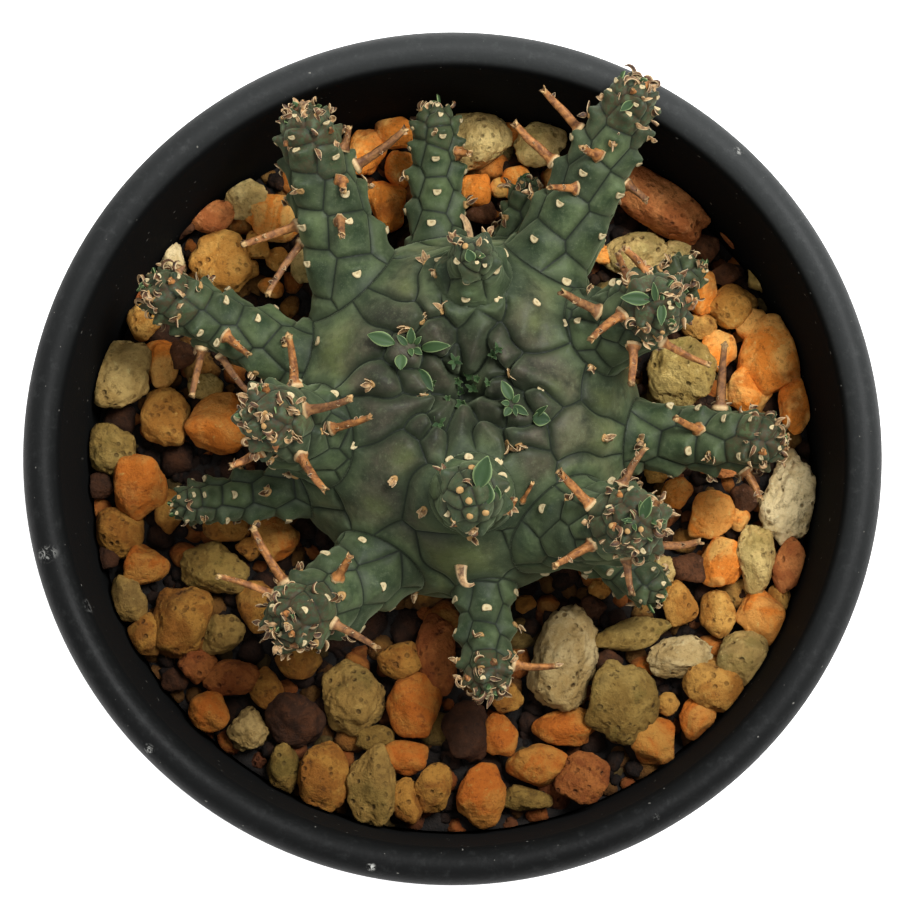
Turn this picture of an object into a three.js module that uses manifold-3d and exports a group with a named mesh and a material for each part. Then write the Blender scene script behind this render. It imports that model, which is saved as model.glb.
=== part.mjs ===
// Potted euphorbia: a globose, many-armed succulent in a round black nursery pot.
// Millimetres, +Z up. The origin is the middle of the pot's foot, where it stands.
// Plan directions: +Y is north (away from the viewer), +X is east.

import * as THREE from "three";
import { mergeVertices } from "three/addons/utils/BufferGeometryUtils.js";
import Module from "manifold-3d";

const wasm = await Module();
wasm.setup();

// ---- Driving dimensions -------------------------------------------------------------

const POT_HEIGHT = 76;
const RIM_RADIUS = 45;
const MOUTH_RADIUS = 41;
const LIP_DROP = 2.4; // the lip's round top stands this far above its widest place
const LIP_DEPTH = 4.4; // solid lip, above the hollow under the collar
const LIP_STEPS = 6;
const COLLAR_HEIGHT = 9.8;
const COLLAR_TAPER = 0.6; // radius lost down to the collar's lower edge
const WALL = 1.6;
const WALL_TAPER = 0.127; // radius lost per millimetre of depth
const FOOT_RAISE = 1.4; // the base plate clears the surface by this much
const FOOT_WIDTH = 3.6;
const FOOT_EDGE = 0.8; // height of the bevel round the foot
const POT_SIDES = 44;
const DRAIN_RADIUS = 3.6;
const DRAIN_RING_RADIUS = 18;
const DRAIN_RING_COUNT = 6;
const DRAIN_SIDES = 12;

const GAP = 0.3; // clearance between neighbouring pieces
const FINEST = 0.06; // detail smaller than this is merged away
const BED_LEVEL = 58; // top of the fine mix, under the stones
const BED_FLOOR = FOOT_RAISE + WALL + GAP;

const BODY_COLUMNS = 44;
const BODY_RIBS = 11; // tubercle rows round the body
const BODY_RINGS = 17;
const BODY_RELIEF = 0.7;
const BODY_RELIEF_FADE = 7; // the relief dies away within this radius of the crown
const BODY_FOOT_CENTRE = [0.7, 4.2]; // plan centre of the body at the mix
const BODY_CROWN_CENTRE = [1.4, 6.4]; // plan centre of its crown
const BODY_FOOT_LEVEL = 62;
const BODY_CROWN_LEVEL = 78;
// radius and height, from the hollow of the crown down to the end of the root
const BODY_PROFILE = [
  [0, 77.2],
  [2.5, 77.9],
  [5, 79.4],
  [8, 80],
  [11, 79.2],
  [14, 76.8],
  [16.8, 73],
  [18.4, 68.5],
  [18.6, 65],
  [17.5, 61],
  [15, 57],
  [11, 51],
  [7, 42],
  [4, 35],
  [0, 31],
];

const ARM_RELIEF = 0.1; // tubercle height as a share of the arm's radius
const ARM_RIBS = 5;
const ARM_RING_STEP = 2.4;
const ARM_ROOT_DEPTH = 5; // length that runs on inside the body before it is cut
const ARM_SAG = 0.7; // an arm droops by this much midway and lifts at its tip

const ARM_SHOULDER = [0.6, 0.72]; // last ring: how far past the tip, and how wide
const ARM_END = 0.95; // all in tip radii

const STALK_SIDES = 4;
const STALK_RADIUS = 0.55;
const STALK_TIP_RADIUS = 0.34;
const STALK_ROOT = 1.2;
const BLADE_THICKNESS = 0.7;

const BRACT_LENGTH = 1.9;
const BRACT_WIDTH = 1.1;
const BRACTS_PER_TIP = 3;
const BRACT_PLACE = [0.35, 0.62]; // reach past the tip and out from the axis, in tip radii

// Arms: root and tip of the axis, radius there, dried flower stalks and leaves.
// A stalk is [share of the arm's length, degrees round it from its upper side
// (+ is to the right looking to the tip), reach in x, y and z]. A leaf is the same
// with its width added at the end.
const ARMS = [
  {
    name: "arm_north_west_long",
    root: [-10.1, 17.9, 71],
    tip: [-15.1, 33.2, 78],
    radii: [4.9, 3.1],
    stalks: [
      [0.73, 88, 5.5, 3.8, 1.2],
      [0.48, -90, -5.9, -2.3, 1],
      [0.38, -92, -3.6, -5.9, 0.8],
      [0.86, 72, 0.8, 2.2, 1],
      [0.49, 6, 0.3, -1.9, 1.6],
      [0.7, 27, 0.4, -1.2, 1.2],
    ],
    leaves: [],
  },
  {
    name: "arm_north_low",
    root: [-1.6, 23.3, 67],
    tip: [-1.8, 35.6, 69],
    radii: [3.1, 2.6],
    stalks: [[0.79, 60, 1.4, -0.4, 1.2]],
    leaves: [],
  },
  {
    name: "arm_north_east_long",
    root: [10.1, 20.7, 72],
    tip: [18.5, 36.2, 80],
    radii: [4.6, 2.9],
    stalks: [
      [0.74, -87, -4.1, 4, 1.5],
      [0.51, -87, -4.4, 4, 1],
      [0.48, -12, -2.8, -0.3, 2.6],
      [0.7, -5, -1.8, 0.4, 2],
      [0.59, 90, 2.2, -1.9, 0.5],
    ],
    leaves: [],
  },
  {
    name: "arm_north_bud",
    root: [6.7, 23.5, 66.2],
    tip: [7.9, 28.6, 66.4],
    radii: [2.3, 2.1],
    stalks: [],
    leaves: [],
  },
  {
    name: "arm_east_north_low",
    root: [15.7, 15.4, 66.2],
    tip: [24.6, 19.9, 67.5],
    radii: [2.6, 2.4],
    stalks: [],
    leaves: [],
  },
  {
    name: "arm_east_north_upper",
    root: [12.4, 11.7, 73],
    tip: [20.9, 14.3, 84],
    radii: [4.6, 3.5],
    stalks: [
      [0.62, -20, -3.9, 1.7, 3],
      [0.9, 3, -3.5, -3, 2.6],
      [0.78, 56, -0.2, -4.4, 1.4],
      [0.85, 105, 5.1, -2.5, -0.6],
      [1, -95, -2.5, 2.4, 1.8],
      [0.8, -83, -1.2, 2.9, 0.8],
    ],
    leaves: [
      [0.98, -20, -2.4, -0.6, 1.5, 1.5],
      [1, 60, 0.6, -2.2, 1.6, 1.4],
    ],
  },
  {
    name: "arm_east_long",
    root: [18.8, 2.6, 69],
    tip: [31.9, 1.5, 74],
    radii: [3.8, 3],
    stalks: [
      [0.69, -83, 0.4, 6.7, 2],
      [0.6, -7, -2.6, 0.9, 2.4],
      [0.91, 95, 1.5, -3.3, 0.4],
    ],
    leaves: [],
  },
  {
    name: "arm_east_south_upper",
    root: [10, -6.9, 72],
    tip: [18.4, -8.2, 84],
    radii: [5, 3.7],
    stalks: [
      [0.95, -70, 2.4, 3.9, 0.8],
      [0.77, -19, -3.4, 3.2, 2.8],
      [0.77, 47, -4.1, -2.5, 2.4],
      [1, 150, 4.9, 0.5, 0.4],
      [0.88, 107, 0.5, -3.8, 0.6],
    ],
    leaves: [
      [1, 0, 1.2, 2.2, 2, 1.4],
      [1, 40, -1.6, -0.8, 2, 1.2],
    ],
  },
  {
    name: "arm_east_south_low",
    root: [15.6, -9.2, 66.2],
    tip: [20.4, -12.7, 66.4],
    radii: [2.7, 2.5],
    stalks: [],
    leaves: [],
  },
  {
    name: "arm_south",
    root: [3.3, -13.6, 67.4],
    tip: [3.7, -22.5, 70.4],
    radii: [3, 2.7],
    stalks: [[0.94, -85, 4.7, -0.2, 0.4]],
    leaves: [],
  },
  {
    name: "arm_south_west",
    root: [-7.6, -10.8, 69],
    tip: [-15.8, -17.2, 77],
    radii: [4.4, 3.7],
    stalks: [
      [0.92, 85, -3.4, 5.8, 1.2],
      [1, 110, -6, 2, 0.6],
      [0.91, -51, 4.7, -2.7, 1.2],
      [0.67, 11, 1.4, 2.2, 2.4],
    ],
    leaves: [],
  },
  {
    name: "arm_west_low",
    root: [-17.2, -2.9, 66.8],
    tip: [-27.4, -4.6, 69.2],
    radii: [2.9, 2.2],
    stalks: [],
    leaves: [],
  },
  {
    name: "arm_west_upper",
    root: [-12.3, 1.9, 73],
    tip: [-18.6, 2.6, 84],
    radii: [5, 3.6],
    stalks: [
      [0.67, 86, -0.5, 5.3, 1.4],
      [0.89, 15, 4.8, 0.8, 3],
      [0.53, 1, 4.2, 0.8, 2.8],
      [0.73, -54, 2.7, -4, 1.8],
      [0.95, -107, -3.2, -1.8, 0.2],
    ],
    leaves: [],
  },
  {
    name: "arm_north_west_low",
    root: [-16.1, 10.5, 70],
    tip: [-29.8, 16.7, 75],
    radii: [3.7, 2.8],
    stalks: [
      [0.56, -26, 2.5, -2.3, 1.4],
      [0.5, -95, 3.4, -4.4, -0.2],
      [0.63, -97, -1.1, -5.2, -0.6],
    ],
    leaves: [],
  },
  {
    name: "crown_arm_north",
    root: [2, 16.9, 76],
    tip: [2.2, 19.1, 84.6],
    radii: [4.2, 2.2],
    stalks: [],
    leaves: [],
  },
  {
    name: "crown_arm_south",
    root: [2, -3.9, 77],
    tip: [2, -5.3, 85.6],
    radii: [4.2, 3.3],
    stalks: [[0.95, -113, 3.6, 1.9, 0.8]],
    leaves: [
      [1, -25, 0.8, 2, 1.8, 1.4],
      [1, -60, 1.2, -0.4, 1.6, 1.2],
    ],
  },
];

// Leafy shoots on the body: plan place of the shoot, then each leaf's reach and width.
const SHOOTS = [
  {
    place: [-4.2, 11],
    leaves: [
      [-4.4, 1, 1.2, 1.7],
      [3.6, -0.2, 1.3, 1.6],
      [1.6, -4.2, 0.7, 1.4],
      [-1.2, -2.2, 1.1, 1.5],
      [0.2, 2, 1.8, 1.3],
    ],
  },
  {
    place: [6.9, 4.2],
    leaves: [
      [-0.9, 2.6, 1.2, 1.3],
      [-1, -0.6, 1.8, 1.2],
      [3.2, -1, 0.9, 1.6],
      [1.6, 0.6, 1.8, 1.2],
    ],
  },
  {
    place: [1.5, 6.9],
    leaves: [
      [0.2, 2.6, 0.7, 1.2],
      [-2.2, 0.4, 0.6, 1.1],
      [1.6, 0.7, 0.8, 1],
      [-0.8, -2.4, 0.6, 1.2],
    ],
  },
];

// Stones that show: plan centre, width along x and along y.
const STONES = [
  [-34.9, 8.2, 6.6, 6.9], [-30.4, 9.5, 3.5, 4.9], [-30, 3.9, 4.9, 6],
  [-24.2, 3.2, 7, 6.3], [-35.7, 0.4, 5.3, 5.1], [-25.4, 25.1, 4.9, 3.6],
  [-21.6, 27, 4.7, 4.3], [-18.7, 24.9, 6.3, 4.7], [-24.2, 20.1, 6.3, 6.3],
  [-29.3, 20.3, 2.8, 4.2], [-32.5, 17.6, 3.5, 2.4], [-32.3, 13.8, 3.6, 3.8],
  [-15.6, 20.1, 2.4, 4.2], [-5.9, 34.4, 4, 4], [-9.1, 32, 4.5, 4.7],
  [-5.5, 30.1, 2.8, 3.8], [-6.9, 26.2, 4.3, 5.3], [-25.8, 7.1, 3.6, 2.6],
  [-28.3, 10.4, 3, 3], [3, 33.4, 6.7, 6.6], [9.5, 32.8, 5.3, 4.9],
  [2.7, 27.9, 3, 3.4], [6.7, 28.7, 3.2, 3.4], [3.2, 25.6, 3.2, 2.4],
  [22, 26.5, 9.4, 6.3], [19.5, 21.1, 6.8, 4.5], [24, 21.4, 3.2, 2.8],
  [26.9, 21.7, 2.9, 2.9], [29, 19, 3, 2.4], [26.4, 17, 3.6, 4.7],
  [29.6, 15.6, 5.5, 4.7], [33.7, 10.4, 6.6, 8], [31.8, 13.7, 3.8, 3.2],
  [36.6, 5.2, 4, 6], [31.1, 6.5, 5.3, 4.9], [28.3, 10.9, 3.6, 4.3],
  [24.3, 8.3, 7, 7.2], [26.1, 13.5, 3.8, 2.8], [35.7, -4.5, 6.5, 9.4],
  [31, -4.8, 3, 3.2], [27.4, -6.4, 4.7, 4.9], [30.2, -6.8, 2.4, 2.6],
  [32, -11.2, 4, 7], [35.5, -11.7, 3.5, 5.7], [28.6, -11.4, 4.9, 5],
  [24.1, -15.7, 3.6, 4.7], [28, -16.8, 3.6, 4.9], [32.4, -17.1, 4.9, 5.8],
  [34.4, -15.1, 2.5, 2.9], [30.5, -21.3, 5.3, 6], [24, -21.3, 6.6, 4.3],
  [27.5, -24.1, 6.2, 5.7], [25.8, -27.6, 3.6, 4.5], [22.6, -26.2, 2.6, 2.4],
  [21, -30, 4.6, 4.7], [19.2, -18.9, 7.4, 3.5], [12, -21.3, 7, 10],
  [17.9, -26.1, 7.4, 8.4], [11.9, -28.5, 6.5, 3.9], [5.2, -29.3, 3.5, 4.5],
  [5.8, -25.5, 3.5, 3.2], [9.1, -32.5, 6.3, 4.2], [13.7, -33.9, 5.5, 5.3],
  [8, -35.9, 5, 2.6], [3.2, -35.7, 4.9, 6.5], [1.6, -29, 4.9, 6],
  [25, -12, 3.9, 3], [22.3, -12.3, 2.4, 3], [23.8, -4.2, 3.2, 3.2],
  [16.5, -21.7, 3, 2.6], [-32.5, -3.6, 5.3, 6.6], [-29.5, -6, 3, 4.5],
  [-34.7, -8.4, 4.8, 5.3], [-31.8, -11.7, 4.6, 4.3], [-24.7, -12, 6.9, 5.2],
  [-33.7, -15.2, 3.8, 4.7], [-28.3, -17.8, 6.7, 7.2], [-23.8, -19, 4.5, 4],
  [-26.5, -22.1, 3.9, 3.9], [-22.8, -23.4, 6, 3.6], [-19.2, -24.5, 3.5, 4.2],
  [-25.2, -27, 4.1, 4.1], [-21.2, -28.7, 4.2, 4.5], [-16.2, -27.9, 6, 5.6],
  [-10.1, -25.5, 6.3, 7.6], [-17.5, -32.8, 3.3, 5.3], [-13.3, -34, 5.3, 7.5],
  [-8.2, -34.9, 4.9, 8.6], [-4.9, -31.8, 4.9, 3.5], [-4.6, -36.3, 3.2, 4.7],
  [-3.8, -26.3, 5.5, 6.6], [-1.6, -21, 4.2, 8.2], [-1.8, -34.9, 3.8, 5],
  [-7.9, -29.7, 3.9, 2.6], [-5.2, -21.7, 4.7, 3.8], [-32.1, -18.9, 3.5, 4.3],
  [-18.4, -8.9, 4.9, 4.6], [-23.5, -7.9, 4.7, 2.6], [-20.5, -16.1, 3.8, 5.3],
  [-15.9, -21.7, 4.7, 3.7], [-36.7, -3.3, 2.8, 2.7],
];
const FILL_PLACES = 150; // places tried for smaller stones between the others
const FILL_SEED = 11;
const FILL_SIZE = [3.2, 4.8];
const FILL_REACH = 37;
const FILL_SPACING = 0.42; // least distance to a neighbour, over the sum of both widths
const STONE_SCALE = 1.1; // corners stand out a little past the measured widths
const STONE_JITTER = 0.13;
const STONE_LIFT = 1; // most that a stone lies above the lowest ones
const STONE_FLATNESS = 0.82; // height over the smaller width
const STONE_SINK = 0.35; // share of a stone's height below the bed level

const UP = new THREE.Vector3(0, 0, 1);

// ---- Seeded random numbers ----------------------------------------------------------

function seededRandom(seed) {
  let state = seed;
  return () => {
    state = (Math.imul(state, 1664525) + 1013904223) >>> 0;
    return state / 4294967296;
  };
}

// ---- Solids -------------------------------------------------------------------------

function solidFrom(geometry) {
  const plain = new THREE.BufferGeometry();
  plain.setAttribute("position", geometry.getAttribute("position").clone());
  if (geometry.index) plain.setIndex(geometry.index.clone());
  const merged = mergeVertices(plain, 1e-4);
  return new wasm.Manifold(
    new wasm.Mesh({
      numProp: 3,
      vertProperties: new Float32Array(merged.getAttribute("position").array),
      triVerts: new Uint32Array(merged.index.array),
    }),
  );
}

// The biggest of a solid's separate shells, which leaves out sealed hollows and scraps.
function mainShell(solid) {
  const shells = solid.simplify(FINEST).decompose();
  return shells.reduce((best, shell) => (shell.volume() > best.volume() ? shell : best));
}

function meshOf(name, solid, material) {
  const { vertProperties, triVerts } = mainShell(solid).getMesh();
  const geometry = new THREE.BufferGeometry();
  geometry.setAttribute("position", new THREE.BufferAttribute(vertProperties, 3));
  geometry.setIndex(new THREE.BufferAttribute(triVerts, 1));
  geometry.computeVertexNormals();
  const mesh = new THREE.Mesh(geometry, material);
  mesh.name = name;
  return mesh;
}

// A closed skin over rings of points, with a point at each end. The diagonals turn
// from cell to cell, so that each raised point gets four even slopes.
function skin(startPoint, rings, endPoint) {
  const sides = rings[0].length;
  const points = [startPoint, ...rings.flat(), endPoint];
  const at = (ring, side) => 1 + ring * sides + (side % sides);
  const triangles = [];
  for (let side = 0; side < sides; side += 1) {
    triangles.push(0, at(0, side), at(0, side + 1));
    for (let ring = 0; ring + 1 < rings.length; ring += 1) {
      const a = at(ring, side);
      const b = at(ring, side + 1);
      const c = at(ring + 1, side + 1);
      const d = at(ring + 1, side);
      if ((ring + side) % 2 === 0) triangles.push(a, d, b, b, d, c);
      else triangles.push(a, d, c, a, c, b);
    }
    triangles.push(points.length - 1, at(rings.length - 1, side + 1), at(rings.length - 1, side));
  }
  const geometry = new THREE.BufferGeometry().setFromPoints(points);
  geometry.setIndex(triangles);
  const solid = solidFrom(geometry);
  if (solid.volume() > 0) return solid;
  for (let i = 0; i < triangles.length; i += 3) {
    [triangles[i], triangles[i + 1]] = [triangles[i + 1], triangles[i]];
  }
  geometry.setIndex(triangles);
  return solidFrom(geometry);
}

// Two directions square to an axis: the one nearest to straight up, and the one that is
// on the right looking along the axis.
function frameOf(axis) {
  const across = new THREE.Vector3().crossVectors(axis, UP);
  if (across.lengthSq() < 1e-6) across.set(1, 0, 0);
  across.normalize();
  const over = new THREE.Vector3().crossVectors(across, axis).normalize();
  return { across, over };
}

function ringPoint(centre, frame, angle, radius) {
  return centre
    .clone()
    .addScaledVector(frame.over, radius * Math.cos(angle))
    .addScaledVector(frame.across, radius * Math.sin(angle));
}

// A tapered stalk from a point inside what carries it.
function stalkSolid(from, reach) {
  const axis = reach.clone().normalize();
  const frame = frameOf(axis);
  const start = from.clone().addScaledVector(axis, -STALK_ROOT);
  const end = from.clone().add(reach);
  const ring = (centre, radius) =>
    Array.from({ length: STALK_SIDES }, (_, side) =>
      ringPoint(centre, frame, (side * 2 * Math.PI) / STALK_SIDES, radius),
    );
  return skin(start, [ring(start, STALK_RADIUS), ring(end, STALK_TIP_RADIUS)], end);
}

// A pointed blade, lens-shaped across, widest past its middle.
function bladeSolid(from, reach, width) {
  const axis = reach.clone().normalize();
  const frame = frameOf(axis);
  const start = from.clone().addScaledVector(axis, -STALK_ROOT);
  const station = (share, size) => {
    const centre = start.clone().lerp(from.clone().add(reach), share);
    return [
      centre.clone().addScaledVector(frame.over, (size * BLADE_THICKNESS) / 2),
      centre.clone().addScaledVector(frame.across, (size * width) / 2),
      centre.clone().addScaledVector(frame.over, (-size * BLADE_THICKNESS) / 2),
      centre.clone().addScaledVector(frame.across, (-size * width) / 2),
    ];
  };
  return skin(start, [station(0.3, 0.7), station(0.66, 1)], from.clone().add(reach));
}

// ---- Pot ----------------------------------------------------------------------------

function mouthInside(level) {
  return MOUTH_RADIUS - WALL_TAPER * (POT_HEIGHT - LIP_DROP - level);
}

function latheSolid(profile) {
  const points = profile.map(([radius, level]) => new THREE.Vector2(radius, level));
  const geometry = new THREE.LatheGeometry(points, POT_SIDES);
  geometry.rotateX(Math.PI / 2);
  const solid = solidFrom(geometry);
  if (solid.volume() > 0) return solid;
  const index = Array.from(geometry.index.array);
  geometry.setIndex(index.reverse());
  return solidFrom(geometry);
}

// The lip's round top, from the outer edge over to the mouth.
function lipArc(steps) {
  const middle = (RIM_RADIUS + MOUTH_RADIUS) / 2;
  const half = (RIM_RADIUS - MOUTH_RADIUS) / 2;
  return Array.from({ length: steps + 1 }, (_, step) => {
    const turn = (Math.PI * step) / steps;
    return [middle + half * Math.cos(turn), POT_HEIGHT - LIP_DROP * (1 - Math.sin(turn))];
  });
}

function potSolid() {
  const collarLevel = POT_HEIGHT - COLLAR_HEIGHT;
  const outer = (level) => mouthInside(level) + WALL;
  const lipLevel = POT_HEIGHT - LIP_DEPTH;
  const footOuter = outer(FOOT_EDGE);
  const footInner = footOuter - FOOT_WIDTH;
  const shell = latheSolid([
    [0, FOOT_RAISE],
    [footInner - FOOT_EDGE, FOOT_RAISE],
    [footInner, 0],
    [footOuter - FOOT_EDGE, 0],
    [footOuter, FOOT_EDGE],
    [outer(lipLevel), lipLevel],
    [RIM_RADIUS - WALL, lipLevel],
    [RIM_RADIUS - WALL - COLLAR_TAPER, collarLevel],
    [RIM_RADIUS - COLLAR_TAPER, collarLevel],
    ...lipArc(LIP_STEPS),
    [mouthInside(FOOT_RAISE + WALL), FOOT_RAISE + WALL],
    [0, FOOT_RAISE + WALL],
  ]);
  let pot = shell;
  for (let hole = 0; hole <= DRAIN_RING_COUNT; hole += 1) {
    const turn = (hole * 2 * Math.PI) / DRAIN_RING_COUNT;
    const reach = hole === DRAIN_RING_COUNT ? 0 : DRAIN_RING_RADIUS;
    const depth = 3 * (FOOT_RAISE + WALL);
    const drain = new THREE.CylinderGeometry(DRAIN_RADIUS, DRAIN_RADIUS, depth, DRAIN_SIDES);
    drain.rotateX(Math.PI / 2);
    drain.translate(reach * Math.cos(turn), reach * Math.sin(turn), FOOT_RAISE);
    pot = pot.subtract(solidFrom(drain));
  }
  return pot;
}

// ---- Body of the plant --------------------------------------------------------------

function bodyCentre(level) {
  const share = (level - BODY_FOOT_LEVEL) / (BODY_CROWN_LEVEL - BODY_FOOT_LEVEL);
  const held = THREE.MathUtils.clamp(share, 0, 1);
  return [
    THREE.MathUtils.lerp(BODY_FOOT_CENTRE[0], BODY_CROWN_CENTRE[0], held),
    THREE.MathUtils.lerp(BODY_FOOT_CENTRE[1], BODY_CROWN_CENTRE[1], held),
  ];
}

// The body as a skin of rings; relief raises its tubercles, grow swells it evenly.
function bodySolid(columns, relief, grow) {
  const outline = new THREE.SplineCurve(BODY_PROFILE.map(([r, z]) => new THREE.Vector2(r, z)));
  const stations = outline.getSpacedPoints(BODY_RINGS + 1);
  const ringAt = (index) => {
    const { x: radius, y: level } = stations[index];
    const tangent = outline.getTangentAt(index / (BODY_RINGS + 1));
    const fade = level > BODY_FOOT_LEVEL - 1 ? Math.min(1, radius / BODY_RELIEF_FADE) : 0;
    return Array.from({ length: columns }, (_, column) => {
      const turn = (column * 2 * Math.PI) / columns;
      const bump = Math.cos(BODY_RIBS * turn) * Math.cos((Math.PI * index) / 2);
      const lift = grow + relief * fade * bump;
      const [x, y] = bodyCentre(level);
      const reach = Math.max(radius - tangent.y * lift, 0.3);
      return new THREE.Vector3(
        x + reach * Math.cos(turn),
        y + reach * Math.sin(turn),
        level + tangent.x * lift,
      );
    });
  };
  const end = (index, lift) => {
    const [x, y] = bodyCentre(stations[index].y);
    return new THREE.Vector3(x, y, stations[index].y + lift);
  };
  const rings = Array.from({ length: BODY_RINGS }, (_, index) => ringAt(index + 1));
  return skin(end(0, grow), rings, end(BODY_RINGS + 1, -grow));
}

// Height of the body's upper side over a place in plan.
function crownHeight(x, y) {
  const [cx, cy] = BODY_CROWN_CENTRE;
  const radius = Math.hypot(x - cx, y - cy);
  const next = BODY_PROFILE.findIndex(([r]) => r > radius);
  const [r0, z0] = BODY_PROFILE[next - 1];
  const [r1, z1] = BODY_PROFILE[next];
  return THREE.MathUtils.lerp(z0, z1, (radius - r0) / (r1 - r0));
}

function bodyWithShoots() {
  let body = bodySolid(BODY_COLUMNS, BODY_RELIEF, 0);
  for (const { place, leaves } of SHOOTS) {
    const [x, y] = place;
    const base = new THREE.Vector3(x, y, crownHeight(x, y));
    for (const [dx, dy, dz, width] of leaves) {
      body = body.add(bladeSolid(base, new THREE.Vector3(dx, dy, dz), width));
    }
  }
  return body;
}

// ---- Arms ---------------------------------------------------------------------------

function armPath({ root, tip }) {
  const base = new THREE.Vector3(...root);
  const end = new THREE.Vector3(...tip);
  const axis = end.clone().sub(base).normalize();
  const { over } = frameOf(axis);
  const middle = base.clone().lerp(end, 0.5).addScaledVector(over, -2 * ARM_SAG);
  const start = base.clone().addScaledVector(axis, -ARM_ROOT_DEPTH);
  return {
    length: base.distanceTo(end),
    start,
    axis,
    point: (share) => {
      if (share <= 0) return base.clone().addScaledVector(axis, share * base.distanceTo(end));
      return new THREE.QuadraticBezierCurve3(base, middle, end).getPoint(Math.min(share, 1));
    },
  };
}

function armRadius({ radii }, share) {
  return THREE.MathUtils.lerp(radii[0], radii[1], THREE.MathUtils.clamp(share, 0, 1));
}

function armTube(arm, relief, grow) {
  const path = armPath(arm);
  const frame = frameOf(path.axis);
  const first = -ARM_ROOT_DEPTH / path.length;
  const steps = Math.round((path.length + ARM_ROOT_DEPTH) / ARM_RING_STEP);
  const sides = 2 * ARM_RIBS;
  const ringAt = (centre, radius, row) =>
    Array.from({ length: sides }, (_, side) => {
      const bump = (row + side) % 2 === 0 ? relief : -relief;
      const angle = (side * 2 * Math.PI) / sides;
      return ringPoint(centre, frame, angle, radius * (1 + bump) + grow);
    });
  const rings = [];
  for (let step = 0; step <= steps; step += 1) {
    const share = first + ((1 - first) * step) / steps;
    rings.push(ringAt(path.point(share), armRadius(arm, share), step));
  }
  const tipRadius = armRadius(arm, 1);
  const beyond = (share) => path.point(1).addScaledVector(path.axis, share * tipRadius + grow);
  const [shoulderReach, shoulderWidth] = ARM_SHOULDER;
  rings.push(ringAt(beyond(shoulderReach), tipRadius * shoulderWidth, steps + 1));
  return skin(path.start, rings, beyond(ARM_END));
}

// A point on an arm's skin, by share of its length and degrees from its upper side.
function armSurface(arm, share, degrees) {
  const path = armPath(arm);
  const frame = frameOf(path.axis);
  const angle = THREE.MathUtils.degToRad(degrees);
  return ringPoint(path.point(share), frame, angle, armRadius(arm, share) * (1 - ARM_RELIEF));
}

// Dried bracts stand in a loose crown round the growing tip.
function tipBracts(arm, random) {
  const path = armPath(arm);
  const frame = frameOf(path.axis);
  const tipRadius = armRadius(arm, 1);
  const centre = path.point(1).addScaledVector(path.axis, BRACT_PLACE[0] * tipRadius);
  return Array.from({ length: BRACTS_PER_TIP }, (_, index) => {
    const angle = ((index + 0.6 * random()) * 2 * Math.PI) / BRACTS_PER_TIP;
    const base = ringPoint(centre, frame, angle, tipRadius * BRACT_PLACE[1]);
    const outward = base.clone().sub(centre).normalize();
    const reach = outward.multiplyScalar(0.6 + 0.6 * random());
    reach.addScaledVector(path.axis, 1).setLength(BRACT_LENGTH * (0.8 + 0.5 * random()));
    return bladeSolid(base, reach, BRACT_WIDTH);
  });
}

function armSolid(arm, random) {
  let solid = armTube(arm, ARM_RELIEF, 0);
  for (const [share, degrees, dx, dy, dz] of arm.stalks) {
    const base = armSurface(arm, share, degrees);
    solid = solid.add(stalkSolid(base, new THREE.Vector3(dx, dy, dz)));
  }
  for (const [share, degrees, dx, dy, dz, width] of arm.leaves) {
    const base = armSurface(arm, share, degrees);
    solid = solid.add(bladeSolid(base, new THREE.Vector3(dx, dy, dz), width));
  }
  for (const bract of tipBracts(arm, random)) solid = solid.add(bract);
  return solid;
}

// ---- Potting mix --------------------------------------------------------------------

function stoneSolid([x, y, width, depth], random) {
  const stone = mergeVertices(
    new THREE.BufferGeometry().setAttribute(
      "position",
      new THREE.IcosahedronGeometry(1, 0).getAttribute("position").clone(),
    ),
    1e-4,
  );
  const height = STONE_FLATNESS * Math.min(width, depth) * (0.9 + 0.3 * random());
  const centre = BED_LEVEL + height * (0.5 - STONE_SINK) + STONE_LIFT * random();
  const turn = new THREE.Euler(random() * Math.PI, random() * Math.PI, random() * Math.PI);
  const place = stone.getAttribute("position");
  for (let i = 0; i < place.count; i += 1) {
    const corner = new THREE.Vector3().fromBufferAttribute(place, i).applyEuler(turn);
    corner.multiplyScalar(STONE_SCALE + STONE_JITTER * (2 * random() - 1));
    corner.multiply(new THREE.Vector3(width / 2, depth / 2, height / 2));
    corner.add(new THREE.Vector3(x, y, centre));
    place.setXYZ(i, corner.x, corner.y, corner.z);
  }
  return solidFrom(stone);
}

// Smaller stones fill what is left bare: places on a sunflower spiral are tried in turn.
function fillStones(random) {
  const placed = [...STONES];
  for (let index = 0; index < FILL_PLACES; index += 1) {
    const reach = FILL_REACH * Math.sqrt((index + 0.5) / FILL_PLACES);
    const turn = index * Math.PI * (3 - Math.sqrt(5));
    const [x, y] = [reach * Math.cos(turn), reach * Math.sin(turn)];
    const width = THREE.MathUtils.lerp(FILL_SIZE[0], FILL_SIZE[1], random());
    const clear = placed.every(([x1, y1, width1, depth1]) => {
      const room = FILL_SPACING * (width + (width1 + depth1) / 2);
      return Math.hypot(x - x1, y - y1) > room;
    });
    if (clear) placed.push([x, y, width, width]);
  }
  return placed;
}

function mixSolid() {
  const random = seededRandom(FILL_SEED);
  const bed = latheSolid([
    [0, BED_FLOOR],
    [RIM_RADIUS, BED_FLOOR],
    [RIM_RADIUS, BED_LEVEL],
    [0, BED_LEVEL],
  ]);
  const stones = fillStones(random).map((stone) => stoneSolid(stone, random));
  const inside = latheSolid([
    [0, 0],
    [mouthInside(0) - GAP, 0],
    [mouthInside(POT_HEIGHT) - GAP, POT_HEIGHT],
    [0, POT_HEIGHT],
  ]);
  const plant = [
    bodySolid(BODY_COLUMNS, 0, BODY_RELIEF + GAP),
    ...ARMS.map((arm) => armTube(arm, 0, ARM_RELIEF * arm.radii[0] + GAP)),
  ];
  return wasm.Manifold.union([bed, ...stones])
    .intersect(inside)
    .subtract(wasm.Manifold.union(plant));
}

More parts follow.
